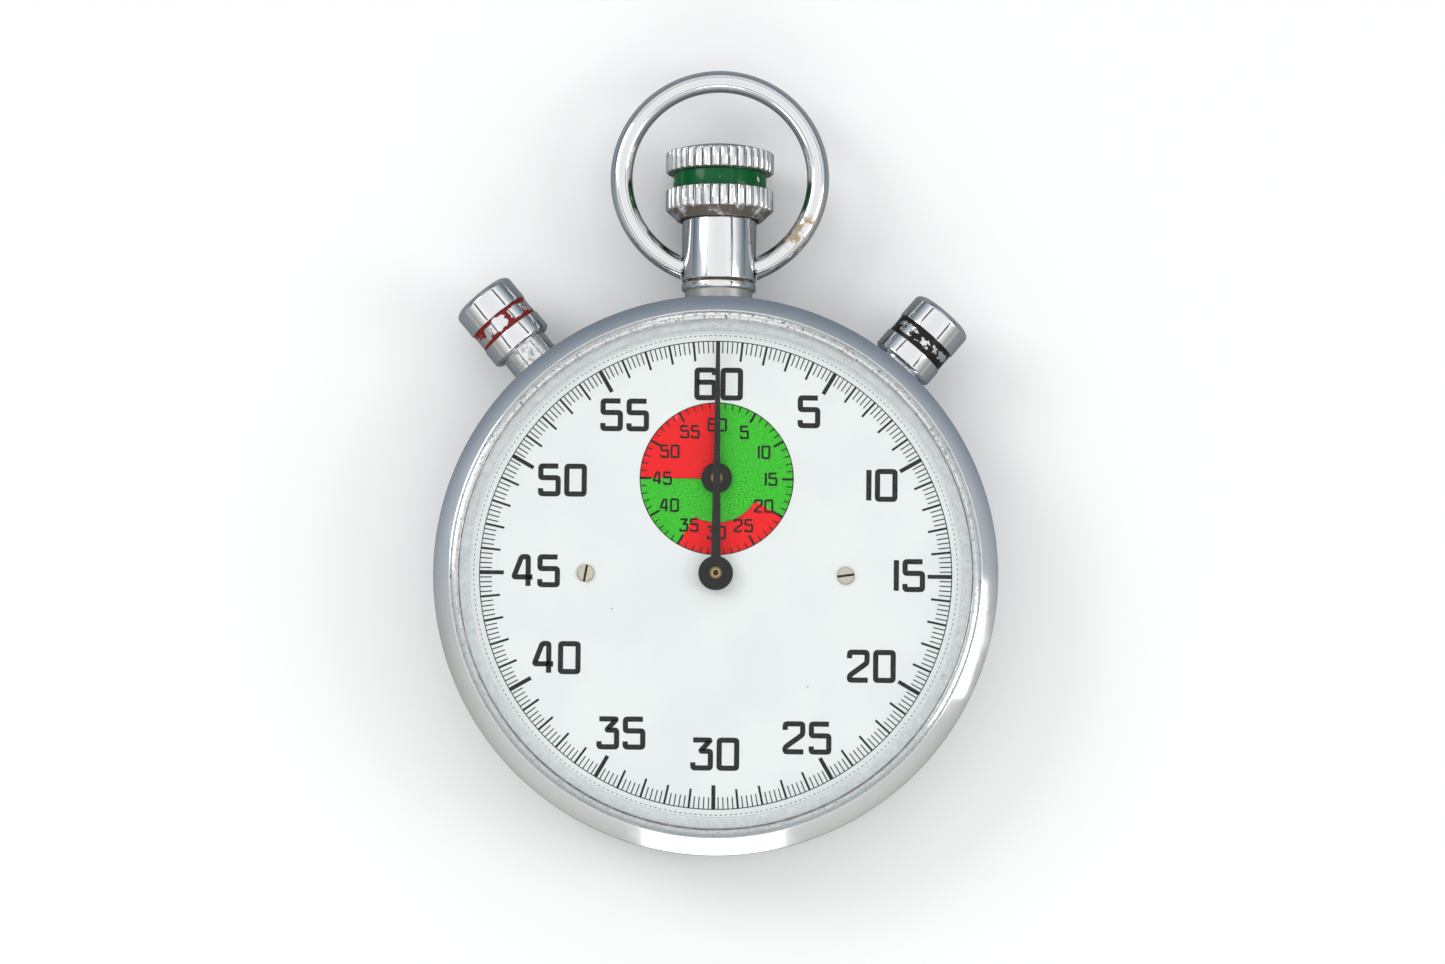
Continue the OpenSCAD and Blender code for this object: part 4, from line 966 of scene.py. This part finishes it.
for side_name, angle, colour, keep, seed in (
        ("left", -PUSH_ANGLE, srgb("7A1C1C"), 0.53, 41.0),
        ("right", PUSH_ANGLE, srgb("1C1A17"), 0.47, 52.0)):
    body = side_name + "_pusher"
    cap_foot, _, cap_r = reach(side_name + "_push_cap", angle)
    core_r = cap_r - 0.32 * MM
    cap = scaled([(2.58, 2.2), (2.58, 0)]) + [(cap_r - 0.25 * MM, 0), (cap_r, 0.25 * MM)]
    cap += [(cap_r, 2.0 * MM), (core_r, 2.0 * MM), (core_r, 3.9 * MM),
            (cap_r, 3.9 * MM), (cap_r, 6.2 * MM), (cap_r - 0.18 * MM, 6.5 * MM),
            (cap_r - 0.6 * MM, 6.72 * MM), (0, 6.85 * MM), (0, 2.2 * MM)]
    spot = outward(angle) @ Matrix.Translation((0, 0, cap_foot))
    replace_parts(piece(side_name + "_cap_polished", lathe("cap", rounded(cap, 0.09 * MM), spot, 128),
                      body, chrome("chrome_cap_" + side_name, seed=seed), 40),
                side_name + "_push_cap")
    ring_low, ring_high, ring_r = reach(side_name + "_push_ring", angle)
    paint = lathe("ring", rounded([
        (core_r + 0.01 * MM, ring_low), (ring_r, ring_low), (ring_r, ring_high),
        (core_r + 0.01 * MM, ring_high)], 0.06 * MM), outward(angle), 128)
    slot = "red_lacquer" if side_name == "left" else "black_lacquer"
    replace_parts(piece(side_name + "_ring_lacquer", paint, body,
                      lacquer("worn_" + slot, colour, angle, ring_low, ring_high, keep, seed)), side_name + "_push_ring")
    foot_d, end_d, tube_r = reach(side_name + "_push_tube", angle)
    sleeve = rounded(scaled([(1.35, 0)]) + [(tube_r, 0), (tube_r, end_d - foot_d),
                                            (1.35 * MM, end_d - foot_d)], 0.1 * MM)
    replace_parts(piece(side_name + "_neck", lathe("neck", sleeve, outward(angle)
                      @ Matrix.Translation((0, 0, foot_d)), 96), "case",
                      chrome("chrome_neck_" + side_name, neck_dirt, seed=seed + 3)),
                side_name + "_push_tube")


# ---------------------------------------------------------------- floor, light and camera

FLOOR_GREY = (0.95, 0.95, 0.95)
FLOOR_HALF = 6.0
floor_mesh = mesh_of("floor", [(x * FLOOR_HALF, y * FLOOR_HALF, cad_low[2] - 0.02 * MM)
                               for x, y in ((-1, -1), (1, -1), (1, 1), (-1, 1))], [[0, 1, 2, 3]])
floor_look = Tree("floor_pale", FLOOR_GREY, 0.9, specular=0.1)
# Painted reflection: the floor is pale to the camera but grey to glossy rays, so the metal mirrors a
# darker floor.
mirrored = floor_look.nodes.new("ShaderNodeLightPath").outputs["Is Glossy Ray"]
floor_look.feed("Base Color", floor_look.mix(mirrored, FLOOR_GREY, srgb("8E9498")))
floor_mesh.materials.append(floor_look.mat)
floor = bpy.data.objects.new("floor", floor_mesh)
bpy.context.scene.collection.objects.link(floor)
floor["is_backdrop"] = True


def add_light(name, at, size, watts, aim=(0, 0.01, 0)):
    data = bpy.data.lights.new(name, "AREA")
    data.shape, data.size, data.energy = "SQUARE", size, watts
    light = bpy.data.objects.new(name, data)
    light.matrix_world = Matrix.Translation(at) @ (
        Vector(aim) - Vector(at)).to_track_quat("-Z", "Y").to_matrix().to_4x4()
    bpy.context.scene.collection.objects.link(light)
    light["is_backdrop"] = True


add_light("soft_left", (-0.85, 0.45, 0.75), 0.5, 3.0)
add_light("soft_right", (0.95, -0.1, 0.7), 0.5, 2.2)
add_light("soft_front", (0.0, -1.0, 0.55), 0.6, 1.6)


def sky():
    """White overhead with a dark seam ring, grey-blue low down behind, pale grey in front."""
    world = bpy.data.worlds.new("studio")
    world.use_nodes = True
    bpy.context.scene.world = world
    nodes, links = world.node_tree.nodes, world.node_tree.links
    split = nodes.new("ShaderNodeSeparateXYZ")
    links.new(nodes.new("ShaderNodeTexCoord").outputs["Generated"], split.inputs[0])

    def ramp(source, stops):
        node = nodes.new("ShaderNodeValToRGB")
        node.color_ramp.interpolation = "EASE"
        while len(node.color_ramp.elements) < len(stops):
            node.color_ramp.elements.new(0.5)
        for element, (place, colour) in zip(node.color_ramp.elements, stops):
            element.position, element.color = place, (*colour, 1)
        links.new(source, node.inputs[0])
        return node.outputs[0]

    white, dark = (1, 1, 1), srgb("2A2D30")
    seam = [(0.67, white), (0.7, white), (0.725, dark), (0.765, dark), (0.79, white),
            (1.0, (0.9, 0.9, 0.9))]
    behind = ramp(split.outputs["Z"], [(0.0, srgb("4A545E")), (0.2, srgb("79848F")),
                                       (0.42, srgb("B4BCC3"))] + seam)
    before = ramp(split.outputs["Z"], [(0.0, srgb("B4B6B0")), (0.3, srgb("A4A6A0")),
                                       (0.5, srgb("D0D1CE"))] + seam)
    side = nodes.new("ShaderNodeMapRange")
    side.interpolation_type = "SMOOTHSTEP"
    side.inputs["From Min"].default_value = -0.25
    side.inputs["From Max"].default_value = 0.3
    links.new(split.outputs["Y"], side.inputs["Value"])
    both = nodes.new("ShaderNodeMix")
    both.data_type = "RGBA"
    links.new(side.outputs[0], both.inputs[0])
    links.new(before, both.inputs[6])
    links.new(behind, both.inputs[7])
    links.new(both.outputs[2], nodes["Background"].inputs["Color"])
    nodes["Background"].inputs["Strength"].default_value = 1.12


sky()
bpy.context.scene.view_settings.view_transform = "Standard"

aim = Vector((0.58, 9.3, 9.4)) * MM
tilt = math.radians(82)  # the camera stands one metre off, almost straight above
eye = aim + Vector((0, -math.cos(tilt), math.sin(tilt)))
lens = bpy.data.cameras.new("camera")
lens.lens, lens.sensor_width = 251.0, 36.0
lens.clip_start, lens.clip_end = 0.05, 50.0
camera = bpy.data.objects.new("camera", lens)
camera.matrix_world = Matrix.Translation(eye) @ (
    (aim - eye).to_track_quat("-Z", "Y").to_matrix()
    @ Matrix.Rotation(math.radians(0.6), 3, "Z")).to_4x4()
bpy.context.scene.collection.objects.link(camera)
bpy.context.scene.camera = camera

low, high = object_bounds()
